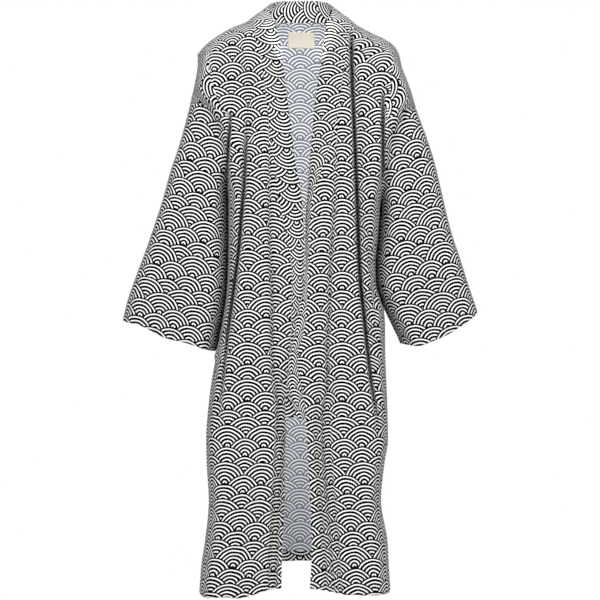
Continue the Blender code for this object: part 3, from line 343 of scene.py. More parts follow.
# narrow creases of the back, in the same way
BACK_CREASES = {
    RIGHT: (
        (((-0.13, 0.122, 0.0), (-0.22, 0.118, 0.012), (-0.4, 0.112, 0.022), (-0.6, 0.116, 0.02),
          (-0.8, 0.124, 0.01), (-0.95, 0.13, 0.0)), 0.0058),
        (((-0.18, 0.131, 0.0), (-0.215, 0.133, 0.012), (-0.26, 0.137, 0.02), (-0.31, 0.14, 0.014),
          (-0.335, 0.1415, 0.0)), 0.0058),
        (((-0.1, 0.072, 0.0), (-0.22, 0.06, 0.005), (-0.45, 0.052, 0.004), (-0.8, 0.056, 0.005),
          (-1.12, 0.064, 0.006)), 0.011),
        (((-0.66, 0.03, 0.0), (-0.85, 0.026, 0.004), (-1.12, 0.022, 0.005)), 0.01)),
    LEFT: (
        (((-0.1, 0.124, 0.0), (-0.2, 0.122, 0.014), (-0.42, 0.115, 0.024), (-0.62, 0.12, 0.022),
          (-0.86, 0.128, 0.01), (-1.0, 0.132, 0.0)), 0.0058),
        (((-0.13, 0.158, 0.0), (-0.17, 0.158, 0.01), (-0.22, 0.1575, 0.018), (-0.27, 0.1575, 0.018),
          (-0.31, 0.157, 0.011), (-0.345, 0.155, 0.0)), 0.0058),
        (((-0.14, 0.08, 0.0), (-0.28, 0.066, 0.004), (-0.5, 0.06, 0.005), (-0.84, 0.064, 0.004),
          (-1.12, 0.07, 0.005)), 0.012),
        (((-0.74, 0.036, 0.0), (-0.92, 0.034, 0.004), (-1.12, 0.03, 0.004)), 0.01)),
}


def creased(side, x, z, face):
    """How far the narrow creases of a front or of the back draw it in."""
    tables = CREASES if face < 0 else BACK_CREASES
    return sum(crease(table, x, z, half) for table, half in tables[side])


def swell(side, x, z):
    """Square of the cloth's distance from the middle plane, before its folds."""
    out = np.maximum(x, 0.0)
    body = along(DEPTH, z, 1) ** 2 * bulge((along(SIDES[side], z, 1) - x) / along(DEPTH, z, 2))
    arm = SLEEVE_DEPTH ** 2 * bulge((x - along(SIDES[side], z, 2)) / SLEEVE_ROUND)
    soft = along(SADDLE, z)
    near = np.maximum(soft - np.abs(body - arm), 0.0) / soft
    both = np.maximum(body, arm) + near * near * soft / 4
    under = bulge((along(SHOULDER[side], out) - z) / RIDGE_ROUND)
    within = bulge((along(OUTER[side], z) - x) / OUTER_ROUND)
    outside = (under < 0) & (within < 0)
    return np.where(outside, -np.abs(under * within), under * within) * both


def crease(table, x, z, half):
    """Depth of a fold or crease: its own on its line, nothing from half its width out."""
    q = np.clip((x - along(table, z, 1)) / half, -1.0, 1.0)
    return along(table, z, 2) * np.cos(q * np.pi / 2) ** 2


def spread(side, x, z, face):
    """Signed square of the distance from the middle plane, folds included. face: -1 front, 1 back."""
    base = swell(side, x, z)
    root = np.maximum(np.sqrt(np.abs(base)), FOLDED_DEPTH)
    if face < 0:
        share = 1.0
        fold = crease(FOLDS[side], x, z, FOLD_HALF)
    else:
        share = along(BACK_SHARE, z)
        fold = crease(BACK_FOLDS[side], x, z, BACK_FOLD_HALF)
    return base * (share - fold / root) ** 2


def layer(side, x, z):
    """How far a front is moved for the overlap: back for the lower one, forward for the upper one."""
    middle = ease((-0.36 - z) / 0.09) * ease((z + 0.86) / 0.08)
    if side == RIGHT:
        turn = 0.022 * ease((0.047 - x) / 0.02) * ease((-0.785 - z) / 0.03) * ease((z + 1.04) / 0.1)
        return 0.004 * middle * ease((0.065 - x) / 0.03) + turn
    return -0.0035 * middle * ease((0.06 - x) / 0.04)


def cloth(side, x, z, face):
    """Points and outward normals of the cloth's middle surface."""
    x, z = np.broadcast_arrays(np.asarray(x, float), np.asarray(z, float))
    value = spread(side, x, z, face)
    y = face * np.sqrt(np.maximum(value, 0.0))
    d = 1e-4
    nx = -(spread(side, x + d, z, face) - spread(side, x - d, z, face)) / (2 * d)
    nz = -(spread(side, x, z + d, face) - spread(side, x, z - d, face)) / (2 * d)
    y = y - face * creased(side, x, z, face)
    if face < 0:
        y = y + layer(side, x, z)
    normal = np.stack([side * nx, 2 * y, nz], -1)
    normal /= np.linalg.norm(normal, axis=-1, keepdims=True)
    return np.stack([side * x, y + face * GAP / 2, z], -1), normal


def narrowed(low, high, test):
    """Both ends, after 40 halvings, of the stretch where a test turns from true at low to false at high."""
    for _ in range(40):
        middle = (low + high) / 2
        passed = test(middle)
        low = np.where(passed, middle, low)
        high = np.where(passed, high, middle)
    return low, high


def body_edge(side, z):
    """Distance out of the body's side at a height under the armhole."""
    body, arm = along(SIDES[side], z, 1), along(SIDES[side], z, 2)
    return narrowed(body - 0.03, (body + arm) / 2, lambda x: swell(side, x, z) > 0)[0]


def sleeve_edge(side, z):
    """Distance out of the sleeve's inner fold at a height under the armhole."""
    body, arm = along(SIDES[side], z, 1), along(SIDES[side], z, 2)
    return narrowed((body + arm) / 2, arm + 0.03, lambda x: swell(side, x, z) <= 0)[1]


def armpit(side):
    """Height of the foot of the armhole, where the body's side meets the sleeve."""
    low, high = VALLEY[side][-1][0], VALLEY[side][1][0]
    return float(narrowed(low, high, lambda z: swell(side, along(VALLEY[side], z), z) <= 0)[1])


ARMPIT = {side: armpit(side) for side in (RIGHT, LEFT)}


def armhole(side, share):
    """Distance out and height of the armhole seam at a share of its way down."""
    share = np.asarray(share, float)
    top = VALLEY[side][0][0]
    down_the_valley = top + (ARMPIT[side] - top) * (share - 0.5) / 0.5
    z = np.where(share <= 0.5, along(ARMHOLE[side], share, 2), down_the_valley)
    x = np.where(share <= 0.5, along(ARMHOLE[side], share, 1), along(VALLEY[side], z))
    return x, z


def upper_height(side, x, share, top):
    """Height at a share of the way from a piece's upper edge down to the armpit."""
    return top(side, x) * (1 - share) + ARMPIT[side] * share


def shoulder_top(side, x):
    """Height of a front's upper edge, the shoulder line."""
    return along(SHOULDER[side], np.maximum(x, 0.0))


def back_top(side, x):
    """Height of the back's upper edge: the neck seam, then the shoulder line."""
    return np.where(x < NECK_END[side], along(COLLAR_NECK[side], x), shoulder_top(side, x))


def front_level(side, share):
    """Height where a front's row above the armpit meets the collar or the overlap panel."""
    def above(z):
        return upper_height(side, along(FRONT_SEAM[side], z), share, shoulder_top) > z

    low, high = narrowed(-1.0, FRONT_SEAM[side][0][0], above)
    return (low + high) / 2


def level_at(side, part):
    """Height at a part of the way from the armpit down to LOWEST."""
    return ARMPIT[side] + (LOWEST - ARMPIT[side]) * part


def part_at(side, level):
    """Part of the way from the armpit down to LOWEST at a height."""
    return (level - ARMPIT[side]) / (LOWEST - ARMPIT[side])


def seam_out(side, z):
    """Distance out of the seam between the collar and the front or its overlap panel."""
    return np.where(z > PANEL_EDGE[side][0][0], along(FRONT_SEAM[side], z), along(PANEL_EDGE[side], z))


def grain_fields(side, face):
    """Lengths along the cloth, across and up, at places (x, z) of a piece: the print's own coordinates."""
    step_x, step_z = 0.001, 0.003
    x = np.arange(-0.08, 0.3, step_x)
    z = np.arange(-1.16, 0.08, step_z)
    depth = np.sqrt(np.maximum(spread(side, x[None, :], z[:, None], face), 0.0))
    depth = depth - creased(side, x[None, :], z[:, None], face)
    across = np.zeros(depth.shape)
    across[:, 1:] = np.cumsum(np.hypot(step_x, np.diff(depth, axis=1)), axis=1)
    # the way up is measured no further out than where the side starts to turn
    within = np.minimum(x[None, :], along(SIDES[side], z[:-1], 1)[:, None] - 0.035)
    low = np.sqrt(np.maximum(spread(side, within, z[:-1, None], face), 0.0))
    high = np.sqrt(np.maximum(spread(side, within, z[1:, None], face), 0.0))
    up = np.zeros(depth.shape)
    up[1:] = np.cumsum(np.hypot(step_z, high - low), axis=0)
    return x, z, across, up


def read_field(fields, which, at_x, at_z):
    """A field's value at any place, between its samples."""
    x, z = fields[0], fields[1]
    values = fields[2 + which]
    i = np.clip((at_x - x[0]) / (x[1] - x[0]), 0, len(x) - 1.001)
    j = np.clip((at_z - z[0]) / (z[1] - z[0]), 0, len(z) - 1.001)
    a, b = i.astype(int), j.astype(int)
    s, t = i - a, j - b
    low = values[b, a] * (1 - s) + values[b, a + 1] * s
    high = values[b + 1, a] * (1 - s) + values[b + 1, a + 1] * s
    return low * (1 - t) + high * t


def piece_print(side, face, x, z, grain, start=(0.0, 0.0)):
    """Print coordinates of a piece: across from its grain line's distance out, and up from GRAIN_LEVEL."""
    fields = grain_fields(side, face)
    across = read_field(fields, 0, x, z) - read_field(fields, 0, grain, z)
    up = read_field(fields, 1, x, z) - read_field(fields, 1, x, np.full_like(x, GRAIN_LEVEL))
    return np.stack([across + start[0], up + start[1]], -1)


def placed(name, data):
    """A new object in the scene with its mesh, light or camera."""
    thing = bpy.data.objects.new(name, data)
    bpy.context.collection.objects.link(thing)
    return thing


def sewn_piece(name, points, prints, outward, thick, cloths, turned=None, closed_from=None):
    """A piece of cloth: a grid of rows and columns moved to its points, with its print coordinates.

    cloths: look of the outside, then of the inside if it is another. turned: other print coordinates and
    where they hold. closed_from: the row from which the first and last columns are joined.
    """
    rows, columns = points.shape[:2]
    shape = bmesh.new()
    bmesh.ops.create_grid(shape, x_segments=columns - 1, y_segments=rows - 1, size=1.0)
    shape.verts.ensure_lookup_table()
    place = [(round((1 - v.co.y) / 2 * (rows - 1)), round((v.co.x + 1) / 2 * (columns - 1)))
             for v in shape.verts]
    print_map = shape.loops.layers.uv.new("Print")
    for face in shape.faces:
        at = [place[v.index] for v in face.verts]
        use = prints
        if turned is not None and all(turned[1][spot] for spot in at):
            use = turned[0]
        for loop, spot in zip(face.loops, at):
            loop[print_map].uv = use[spot]
        face.smooth = True
    for v, spot in zip(shape.verts, place):
        v.co = points[spot]
    shape.normal_update()
    # a few of the vertices tell whether the faces look outwards
    few = list(zip(shape.verts, place))[::37]
    if sum(float(np.dot(v.normal, outward[spot])) for v, spot in few) < 0:
        bmesh.ops.reverse_faces(shape, faces=list(shape.faces))
    if closed_from is not None:
        edge = [v for v, (row, column) in zip(shape.verts, place)
                if row >= closed_from and column in (0, columns - 1)]
        bmesh.ops.remove_doubles(shape, verts=edge, dist=1e-5)
    mesh = bpy.data.meshes.new(name)
    shape.to_mesh(mesh)
    shape.free()
    for cloth_look in cloths:
        mesh.materials.append(cloth_look)
    piece = placed(name, mesh)
    layer_of = piece.modifiers.new("Cloth thickness", "SOLIDIFY")
    layer_of.thickness = thick
    layer_of.offset = 0.0
    layer_of.use_even_offset = False
    layer_of.material_offset = len(cloths) - 1
    layer_of.material_offset_rim = len(cloths) - 1
    return piece


# share of the rows that lie above the corners of the armhole seam, and the share of its way down there
SEAM_CORNERS = ((0.0, 0.3, 0.57, 0.84, 1.0), (0.0, 0.12, 0.25, 0.4, 0.5))
# rows of body and sleeve that meet along the upper and lower halves of the armhole seam
UPPER_SHARES = np.interp(0.5 - 0.5 * np.cos(np.pi * steps(61)), *SEAM_CORNERS)
LOWER_SHARES = 0.5 + 0.5 * np.sin(np.pi / 2 * steps(41))
FINE_SHARES = np.concatenate([UPPER_SHARES, LOWER_SHARES[1:]])
# rows below the armpit, as parts of the way down
FINE_LEVELS = np.concatenate([[0.002, 0.004, 0.007], np.linspace(0.011, 1.0, 176)])
# columns to the crease where the cap turns down the arm, and on over the cap
ACROSS = 70
STRIP = 14
# the fronts and the back: height of the upper edge, narrow creases, hem
BODY_PARTS = {-1: (shoulder_top, CREASES, FRONT_HEM), 1: (back_top, BACK_CREASES, BACK_HEM)}


def spaced(start, end, count, centre, at_edge):
    """Places from start to end, closer together round the main crease and, with at_edge 1, at the side."""
    fine = np.linspace(start, end, 400)
    weight = 1 + 4 * np.exp(-(((fine - centre) / 0.0065) ** 2))
    weight += at_edge * 1.5 / (np.sqrt((end - fine) / 0.03) + 0.06)
    total = np.concatenate([[0.0], np.cumsum((weight[1:] + weight[:-1]) / 2)])
    return np.interp(np.linspace(0.0, total[-1], count + 1), total, fine)


def meeting(side, z):
    """How far out the body's side is moved to meet the sleeve, and the sleeve in to meet the body."""
    lowest = -0.665 if side == RIGHT else -0.572
    apart = 0.0005
    gap = np.maximum((sleeve_edge(side, z) - body_edge(side, z)) / 2 - apart, 0.0)
    return gap * ease((z - lowest) / 0.02)


def fine_row(side, face, share, start):
    """One row above the armpit: places from a start distance out to the armhole seam."""
    top, creases, _ = BODY_PARTS[face]
    turn = float(along(CAP_CREASE[side], share))
    centre = float(along(creases[side][0][0], upper_height(side, 0.105, share, top)))
    x = spaced(start, turn, ACROSS, centre, 0.0)
    if face > 0:
        end = NECK_END[side]
        along_neck = end * np.sin(np.pi / 2 * np.linspace(0, 1, 43))
        curved = np.concatenate([along_neck, np.linspace(end, turn, 29)[1:]])
        x = curved + (x - curved) * ease(share / 0.3)
    z = upper_height(side, x, share, top)
    end_x, end_z = armhole(side, share)
    part = steps(STRIP + 1)[1:]
    part = 1 - (1 - part) ** (1 + share)
    down = z[-1] + (end_z - z[-1]) * part
    straight = x[-1] + (end_x - x[-1]) * part
    bowed = straight + (along(OUTER[side], down) - straight) * (1 - ease(share / 0.2))
    bowed[-1] = straight[-1]
    x, z = np.concatenate([x, bowed]), np.concatenate([z, down])
    if share > 0.8:
        below = spaced(start, end_x, ACROSS + STRIP, centre, 1.0)
        moved = x + (below - x) * ease((share - 0.8) / 0.2)
        z = np.interp(moved, x, z)
        x = moved
    return x, z


def fine_lower_row(side, face, level, start):
    """One row below the armpit: places from a start to the body's side, and its height there."""
    centre = float(along(BODY_PARTS[face][1][side][0][0], level))
    end = level + (along(FRONT_HEM, side * body_edge(side, level)) - LOWEST) * part_at(side, level)
    return spaced(start, float(body_edge(side, end)), ACROSS + STRIP, centre, 1.0), end


def ended(x, z, end):
    """A row's heights, brought to the height at which fronts and back meet at the side."""
    return z + (end - z[-1]) * ease((x - x[-1] + 0.03) / 0.03)


def widened(side, points, x, z):
    """Moves the body's side out to the sleeve, below the armpit."""
    low = len(FINE_SHARES)
    edge = x[low:, -1:]
    near_side = ease((x[low:] - edge + SIDE_FADE) / SIDE_FADE)
    points[low:, :, 0] += side * meeting(side, z[low:, -1:]) * near_side


def round_the_side(prints, points, sign):
    """Below the armpit, measures the print across along each row itself, also where it turns at the side."""
    low = len(FINE_SHARES)
    step = np.hypot(np.diff(points[low:, :, 0], axis=1), np.diff(points[low:, :, 1], axis=1))
    prints[low:, 1:, 0] = prints[low:, :1, 0] + sign * np.cumsum(step, axis=1)


def cap_print(side, x, z, points):
    """Print coordinates of the cap, whose cloth has turned on its way over the shoulder, and where it is."""
    from_seam = x - 0.17
    outward = from_seam + SLEEVE_DEPTH - np.abs(points[..., 1])
    prints = np.stack([0.5 * from_seam - z, outward], -1)
    return prints, (x > along(CAP_BORDER[side], z)) & (z > armhole(side, 0.5)[1])


def body_piece(side, face, middle):
    """Points, normals and print coordinates of a front or half the back, then the cap's and where it is.

    middle: height that the armpit's row has in the middle of the body.
    """
    hem = BODY_PARTS[face][2]
    rise = middle - ARMPIT[side]
    xs, zs = [], []
    for share in FINE_SHARES:
        start = float(along(FRONT_SEAM[side], front_level(side, share))) if face < 0 else 0.0
        x, z = fine_row(side, face, share, start)
        xs.append(x)
        zs.append(z + share * rise * (1 - ease(x / 0.12)))
    for part in FINE_LEVELS:
        level = level_at(side, part)
        start = float(along(FRONT_SEAM[side], level)) if face < 0 else 0.0
        x, end = fine_lower_row(side, face, level, start)
        top = ARMPIT[side] + rise * (1 - ease(x / 0.12))
        xs.append(x)
        zs.append(ended(x, top + (along(hem, side * x) - top) * part, end))
    x, z = np.array(xs), np.array(zs)
    points, outward = cloth(side, x, z, face)
    widened(side, points, x, z)
    prints = piece_print(side, face, x, z, along(GRAIN[side], z) if face < 0 else np.zeros_like(x))
    sign = 1 if face < 0 else side
    prints[..., 0] *= sign
    round_the_side(prints, points, sign)
    return points, outward, prints, *cap_print(side, x, z, points)


def joined(first, second):
    """Two halves that share a column, the first one turned round."""
    return np.concatenate([first[:, ::-1], second[:, 1:]], axis=1)


def robe_front(side, name, cloths):
    """A front, from the collar and overlap panel out to the armhole and the side."""
    points, outward, prints, *cap = body_piece(side, -1, ARMPIT[side])
    return sewn_piece(name, points, prints, outward, CLOTH_THICK, cloths, cap)


def robe_back(name, cloths):
    """Both halves of the back, whose rows meet in the middle."""
    mean = (ARMPIT[RIGHT] + ARMPIT[LEFT]) / 2
    right, left = body_piece(RIGHT, 1, mean), body_piece(LEFT, 1, mean)
    points, outward, prints, *cap = (joined(a, b) for a, b in zip(right, left))
    return sewn_piece(name, points, prints, outward, CLOTH_THICK, cloths, cap)


def robe_overlap_panel(side, name, cloths):
    """The long panel between a front and the collar, with the same rows as the front."""
    levels = [front_level(side, share) for share in FINE_SHARES]
    levels += [level_at(side, part) for part in FINE_LEVELS]
    top = PANEL_EDGE[side][0][0]
    levels = np.array([level for level in levels if level < top - 0.0005])[:, None]
    outer = along(FRONT_SEAM[side], levels)
    inner = along(PANEL_EDGE[side], levels)
    x = outer + (inner - outer) * steps(25)[None, :]
    share = np.clip(part_at(side, levels), 0.0, 1.0)
    z = levels + (along(FRONT_HEM, side * x) - LOWEST) * share
    points, outward = cloth(side, x, z, -1)
    prints = piece_print(side, -1, x, z, along(FRONT_SEAM[side], z), PANEL_PRINT[side])
    return sewn_piece(name, points, prints, outward, CLOTH_THICK, cloths)


def robe_sleeve(side, name, cloths):
    """Rows run from the inner line at the front, round the outer line, to the inner line at the back."""
    half = 44
    across = 0.5 - 0.5 * np.cos(np.pi * steps(half + 1))
    low = len(LOWER_SHARES)
    levels = SLEEVE_LEVELS[side]
    foot, cuff = ARMPIT[side], levels[-1][0]
    below = foot + (cuff - foot) * np.concatenate([[0.004, 0.009, 0.016], np.linspace(0.025, 1.0, 100)])
    lower_x, lower_z = armhole(side, LOWER_SHARES)
    inner = np.concatenate([lower_z, below])
    outer = along([(-a, b) for a, b in levels], -inner)
    seams = armhole(side, np.interp(across, *SEAM_CORNERS))
    bow_x, bow_z = (seam - seam[0] - (seam[-1] - seam[0]) * across for seam in seams)
    xs, zs = [], []
    for i, level in enumerate(inner):
        inside = float(lower_x[i]) if i < low else float(sleeve_edge(side, level))
        outside = float(along(OUTER[side], outer[i]))
        near_seam = 1 - ease((inner[0] - level) / 0.13)
        near_cuff = ease((cuff + 0.16 - level) / 0.16)
        z = outer[i] + (level - outer[i]) * across + near_seam * bow_z
        xs.append(outside + (inside - outside) * across + near_seam * bow_x)
        zs.append(z - along(CUFF_DROP[side], across) * near_cuff)
    x, z = np.array(xs), np.array(zs)
    front_points, front_out = cloth(side, x, z, -1)
    back_points, back_out = cloth(side, x, z, 1)
    near_body = ease((x[low:, -1:] + SIDE_FADE - x[low:]) / SIDE_FADE)
    for points in (front_points, back_points):
        points[:, 0, 1] = 0.0
        points[low:, -1, 1] = 0.0
        points[low:, :, 0] -= side * meeting(side, z[low:, -1:]) * near_body
    points = joined(front_points, back_points)
    around = np.zeros(points.shape[:2])
    around[:, 1:] = np.cumsum(np.linalg.norm(np.diff(points, axis=1), axis=2), axis=1)
    around -= around[:, half][:, None]
    down = joined(x, x) * math.sin(SLEEVE_LEAN) - joined(z, z) * math.cos(SLEEVE_LEAN)
    prints = np.stack([around, -down], -1)
    return sewn_piece(name, points, prints, joined(front_out, back_out), CLOTH_THICK, cloths, closed_from=low)


def collar_side(side):
    """Stations of the collar from the middle of the back: seam points, their normals and free edge."""
    outs = NECK_END[side] * np.sin(np.pi / 2 * steps(40))
    back_points, back_out = cloth(side, outs, back_top(side, outs), 1)
    back_points[-1, 1] = 0.0
    neck, front = COLLAR_NECK[side], COLLAR_FRONT[side]
    levels = np.linspace(neck[-1][1], COLLAR_END, 400)[1:]
    front_points, front_out = cloth(side, seam_out(side, levels), levels, -1)
    # the tables' row at each station: found by distance out round the neck, by height down the front
    by_out = along([(row[0], k) for k, row in enumerate(neck)], outs)
    heights = [neck[-1][1]] + [row[0] for row in front]
    by_height = along([(z, k) for k, z in enumerate(heights, len(neck) - 1)], levels)
    free = [row[2:] for row in neck] + [row[1:] for row in front]
    at = np.concatenate([by_out, by_height])
    out, y, z = (along([(k, row[column]) for k, row in enumerate(free)], at) for column in range(3))
    seam = np.concatenate([back_points, front_points])
    outward = np.concatenate([back_out, front_out])
    return seam, outward, np.stack([side * out, y, z], -1)


def robe_collar(name, cloths):
    """The collar, from the right front's end round the neck to the left one's, seam edge to free edge."""
    parts = [collar_side(RIGHT), collar_side(LEFT)]
    seam, outward, free = (np.concatenate([a[::-1], b[1:]]) for a, b in zip(*parts))
    across = steps(15)
    points = seam[:, None, :] + across[None, :, None] * (free - seam)[:, None, :]
    run = np.gradient(points, axis=0)
    lift = np.cross(run, (free - seam)[:, None, :])
    lift /= np.linalg.norm(lift, axis=-1, keepdims=True)
    quarter = len(lift) // 4
    if (lift[quarter] * outward[quarter]).sum() < 0:
        lift = -lift
    points = points + lift * COLLAR_BOW * np.sin(np.pi * across)[None, :, None]
    middle = points[:, len(across) // 2]
    length = np.concatenate([[0.0], np.cumsum(np.linalg.norm(np.diff(middle, axis=0), axis=1))])
    width, start = COLLAR_PRINT
    prints = np.stack(np.broadcast_arrays(width * across[None, :] + start, length[-1] - length[:, None]), -1)
    return sewn_piece(name, points, prints, lift, COLLAR_THICK, cloths)


def inside_back(x, z, inward):
    """Points inside the back, moved in from its middle surface."""
    points = np.zeros(x.shape + (3,))
    outward = np.zeros_like(points)
    for side in (RIGHT, LEFT):
        p, n = cloth(side, side * x, z, 1)
        pick = (x < 0) if side == RIGHT else (x >= 0)
        points[pick] = p[pick]
        outward[pick] = n[pick]
    return points - outward * inward, -outward


def neck_label(name, cloths):
    """The bare label inside the back neck, sloping a little."""
    across = np.linspace(-0.5, 0.5, 25)[None, :] * LABEL_SIZE[0]
    down = np.linspace(0.5, -0.5, 15)[:, None] * LABEL_SIZE[1]
    z = LABEL_MIDDLE[1] + down - LABEL_SLOPE * across
    x = np.broadcast_to(LABEL_MIDDLE[0] + across, z.shape)
    points, outward = inside_back(x, z, LABEL_INSIDE)
    return sewn_piece(name, points, np.stack([x, z], -1), outward, LABEL_THICK, cloths)


def hem_turn_up(name, cloths):
    """The back's hem turned up inside, from a little short of one side to a little short of the other."""
    short = 0.006
    right, left = (float(body_edge(side, -1.105)) for side in (RIGHT, LEFT))
    x = np.linspace(short - right, left - short, 161)
    hem = along(BACK_HEM, x) + 0.0005
    z = hem[None, :] + np.linspace(TURN_UP, 0.0, 9)[:, None]
    x = np.broadcast_to(x, z.shape)
    points, outward = inside_back(x, z, TURN_UP_INSIDE)
    return sewn_piece(name, points, np.stack([x, -z], -1), outward, CLOTH_THICK, cloths)


def linear(hex_colour):
    """A screen colour as the linear colour that Blender takes."""
    values = [int(hex_colour[i:i + 2], 16) / 255 for i in (0, 2, 4)]
    return (*[v / 12.92 if v <= 0.04045 else ((v + 0.055) / 1.055) ** 2.4 for v in values], 1.0)


def add(tree, kind, inputs=(), **settings):
    """One node with its settings, its inputs set or linked in order."""
    node = tree.nodes.new("ShaderNode" + kind)
    for key, value in settings.items():
        setattr(node, key, value)
    for socket, value in inputs.items() if isinstance(inputs, dict) else enumerate(inputs):
        if isinstance(value, bpy.types.NodeSocket):
            tree.links.new(value, node.inputs[socket])
        else:
            node.inputs[socket].default_value = value
    return node


def maths_of(tree, kind="Math"):
    """A function that adds a node of maths to a tree and gives its result."""
    def maths(operation, *values):
        return add(tree, kind, values, operation=operation).outputs[0]
    return maths


def wave_scales(tree, where):
    """Where the white of the print lies: rows of discs, lower ones over upper ones, each ringed inside.

    Most discs have four rings round a small core, and every fourth or fifth row has larger ones with five.
    """
    maths = maths_of(tree)
    hand = add(tree, "TexNoise", {"Vector": where, "Scale": 60.0, "Detail": 1.0}, noise_dimensions="3D")
    vectors = maths_of(tree, "VectorMath")
    waver = vectors("SUBTRACT", hand.outputs["Color"], (0.5, 0.5, 0.5))
    drawn = vectors("ADD", where, vectors("MULTIPLY", waver, (LINE_SHIFT, LINE_SHIFT, 0.0)))
    parts = add(tree, "SeparateXYZ", (drawn,))
    u, v = parts.outputs[0], parts.outputs[1]

    def shifted(value):
        return maths("MULTIPLY", maths("SUBTRACT", value, 0.5), DISC_SHIFT)

    # four rows of discs can reach a place; the lowest of them lies on top
    farthest = SMALL_ROUND + RING_STEP + 0.0015
    lowest = maths("CEIL", maths("DIVIDE", maths("SUBTRACT", v, farthest), ROW_STEP))
    found, white = None, None
    for step in range(4):
        row = maths("ADD", lowest, float(step))
        odd = maths("FRACT", maths("MULTIPLY", row, 0.5))
        turn = maths("ADD", maths("DIVIDE", u, SCALE_ACROSS), maths("ADD", odd, 0.5))
        disc = add(tree, "CombineXYZ", (maths("FLOOR", turn), row))
        loose = add(tree, "TexWhiteNoise", {"Vector": disc.outputs[0]}, noise_dimensions="2D")
        loose = add(tree, "SeparateXYZ", (loose.outputs["Color"],))
        aside = maths("MULTIPLY", maths("SUBTRACT", maths("FRACT", turn), 0.5), SCALE_ACROSS)
        aside = maths("ADD", aside, shifted(loose.outputs[0]))
        height = maths("SUBTRACT", v, maths("MULTIPLY", row, ROW_STEP))
        height = maths("ADD", height, shifted(loose.outputs[1]))
        large = maths("LESS_THAN", maths("FRACT", maths("DIVIDE", row, LARGE_EVERY)), LARGE_SHARE)
        reach = maths("ADD", maths("MULTIPLY", large, RING_STEP), SMALL_ROUND)
        square = maths("ADD", maths("MULTIPLY", aside, aside), maths("MULTIPLY", height, height))
        away = maths("SQRT", square)
        ring = maths("FRACT", maths("DIVIDE", maths("SUBTRACT", away, RING_START), RING_STEP))
        ring = maths("LESS_THAN", ring, RING_SHARE)
        for test, value, against in (("GREATER_THAN", away, RING_START), ("GREATER_THAN", height, -0.0004),
                                     ("LESS_THAN", away, maths("SUBTRACT", reach, RIM))):
            ring = maths("MULTIPLY", ring, maths(test, value, against))
        inside = maths("LESS_THAN", away, reach)
        if found is None:
            found, white = inside, ring
        else:
            white = add(tree, "Mix", {0: found, 2: ring, 3: white}, data_type="FLOAT").outputs[0]
            found = maths("MAXIMUM", found, inside)
    return maths("MULTIPLY", white, found)


def weave(tree, shader, where):
    """Crossing threads. Real ones are 0.4 mm apart; these are 1.2 mm apart so that they show."""
    maths = maths_of(tree)
    parts = add(tree, "SeparateXYZ", (where,))
    warp, weft = (maths("SINE", maths("MULTIPLY", parts.outputs[k], math.tau / THREAD_STEP)) for k in (0, 1))
    height = maths("MULTIPLY", warp, weft)
    bump = add(tree, "Bump", {"Strength": 0.1, "Distance": 0.0002, "Height": height})
    tree.links.new(bump.outputs[0], shader.inputs["Normal"])


def matt(name, rough):
    """A matt material and its shader."""
    look = bpy.data.materials.new(name)
    look.use_nodes = True
    shader = look.node_tree.nodes["Principled BSDF"]
    shader.inputs["Roughness"].default_value = rough
    return look, shader


def cotton(name, ground, ink):
    """Plain-weave cotton: matt, with the thin light edge of short fibres, and the print soaked in."""
    look, shader = matt(name, 0.92)
    tree = look.node_tree
    for socket, value in (("Specular IOR Level", 0.04), ("Sheen Weight", 0.006), ("Sheen Roughness", 0.5)):
        shader.inputs[socket].default_value = value
    where = add(tree, "UVMap", uv_map="Print").outputs[0]
    colours = add(tree, "Mix", {0: wave_scales(tree, where), 6: linear(ink), 7: linear(ground)},
                  data_type="RGBA")
    tree.links.new(colours.outputs[2], shader.inputs["Base Color"])
    weave(tree, shader, where)
    return look


def plain_tape(name, colour):
    """Woven label tape: matt, close weave."""
    look, shader = matt(name, 0.85)
    shader.inputs["Base Color"].default_value = linear(colour)
    where = add(look.node_tree, "UVMap", uv_map="Print").outputs[0]
    weave(look.node_tree, shader, where)
    return look


printed = cotton("Printed plain-weave cotton", "F6F6F5", "060607")
reverse = cotton("Printed cotton, reverse side", "FAFAFB", "7F8590")
tape = plain_tape("Woven label tape", "DCD4C6")

back = robe_back("Back_cloth", [printed, reverse])
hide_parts("back")
pieces = [back]
for side, word in ((RIGHT, "Right"), (LEFT, "Left")):
    front_piece = robe_front(side, word + "_front_cloth", [printed, reverse])
    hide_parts(word.lower() + "_front")
    overlap = robe_overlap_panel(side, word + "_overlap_cloth", [printed, reverse])
    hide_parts(word.lower() + "_overlap_panel")
    arm = robe_sleeve(side, word + "_sleeve_cloth", [printed, reverse])
    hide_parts(word.lower() + "_sleeve")
    pieces += [front_piece, overlap, arm]
band = robe_collar("Collar_cloth", [printed])
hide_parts("collar")
tag = neck_label("Neck_label", [tape])
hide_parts("label")
fold = hem_turn_up("Back_turn_up_cloth", [printed])
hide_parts("back_turn_up")
pieces += [band, tag, fold]
for piece in pieces:
    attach(piece, "root")

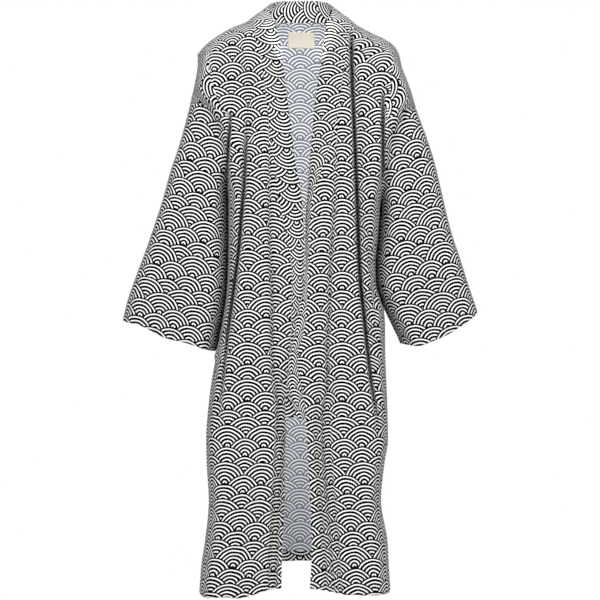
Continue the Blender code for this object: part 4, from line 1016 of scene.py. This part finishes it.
studio, paper = matt("White studio paper", 0.9)
paper.inputs["Base Color"].default_value = linear("F7F7F7")
floor_shape = bmesh.new()
bmesh.ops.create_circle(floor_shape, cap_ends=True, segments=96, radius=1.5)
for v in floor_shape.verts:
    v.co.z = -1.5
floor_mesh = bpy.data.meshes.new("Floor_paper")
floor_shape.to_mesh(floor_mesh)
floor_shape.free()
floor_mesh.materials.append(studio)
floor = placed("Floor_paper", floor_mesh)

# the surround lights the robe with 0.3 and is seen by the camera as white
world = bpy.data.worlds.new("Soft_studio")
bpy.context.scene.world = world
world.use_nodes = True
sky = world.node_tree
surround = sky.nodes["Background"]
surround.inputs[0].default_value = (1.0, 1.0, 1.0, 1.0)
seen = add(sky, "LightPath").outputs["Is Camera Ray"]
sky_maths = maths_of(sky)
sky.links.new(sky_maths("ADD", sky_maths("MULTIPLY", seen, 0.7), 0.3), surround.inputs[1])


def soft_light(name, place, aim, size, watts):
    """A rectangular area light at a place, aimed at a point."""
    light = bpy.data.lights.new(name, "AREA")
    light.shape = "RECTANGLE"
    light.size, light.size_y = size
    light.energy = watts
    lamp = placed(name, light)
    lamp.location = place
    towards = [a - b for a, b in zip(aim, place)]
    lamp.rotation_euler = Vector(towards).to_track_quat("-Z", "Y").to_euler()


soft_light("Left_soft_box", (-1.9, -2.9, 0.7), (0.0, 0.0, -0.5), (1.2, 1.8), 42.0)
soft_light("Right_soft_box", (1.8, -2.9, 0.4), (0.0, 0.0, -0.5), (1.2, 1.8), 39.0)
# the inside of the back is lit on its own, as in the photo: a strip behind the fronts, facing the back
soft_light("Inner_strip", (0.0, -0.08, -0.47), (0.0, 0.2, -0.47), (0.1, 1.0), 0.86)
soft_light("Top_soft_box", (0.0, -1.6, 1.5), (0.0, 0.0, -0.1), (1.0, 1.0), 22.0)
soft_light("Back_soft_box", (0.7, 3.0, 0.6), (0.0, 0.0, -0.5), (1.8, 1.8), 34.0)

# the camera stands where the print inside the back looks as much smaller as it does in the photo
camera = bpy.data.cameras.new("Camera")
camera.lens = 77.3
camera.sensor_width = 36.0
eye = placed("Camera", camera)
eye.location = (0.0, -2.55, -0.5445)
eye.rotation_euler = (math.pi / 2, 0.0, 0.0)
bpy.context.scene.camera = eye
bpy.context.scene.view_settings.view_transform = "Standard"
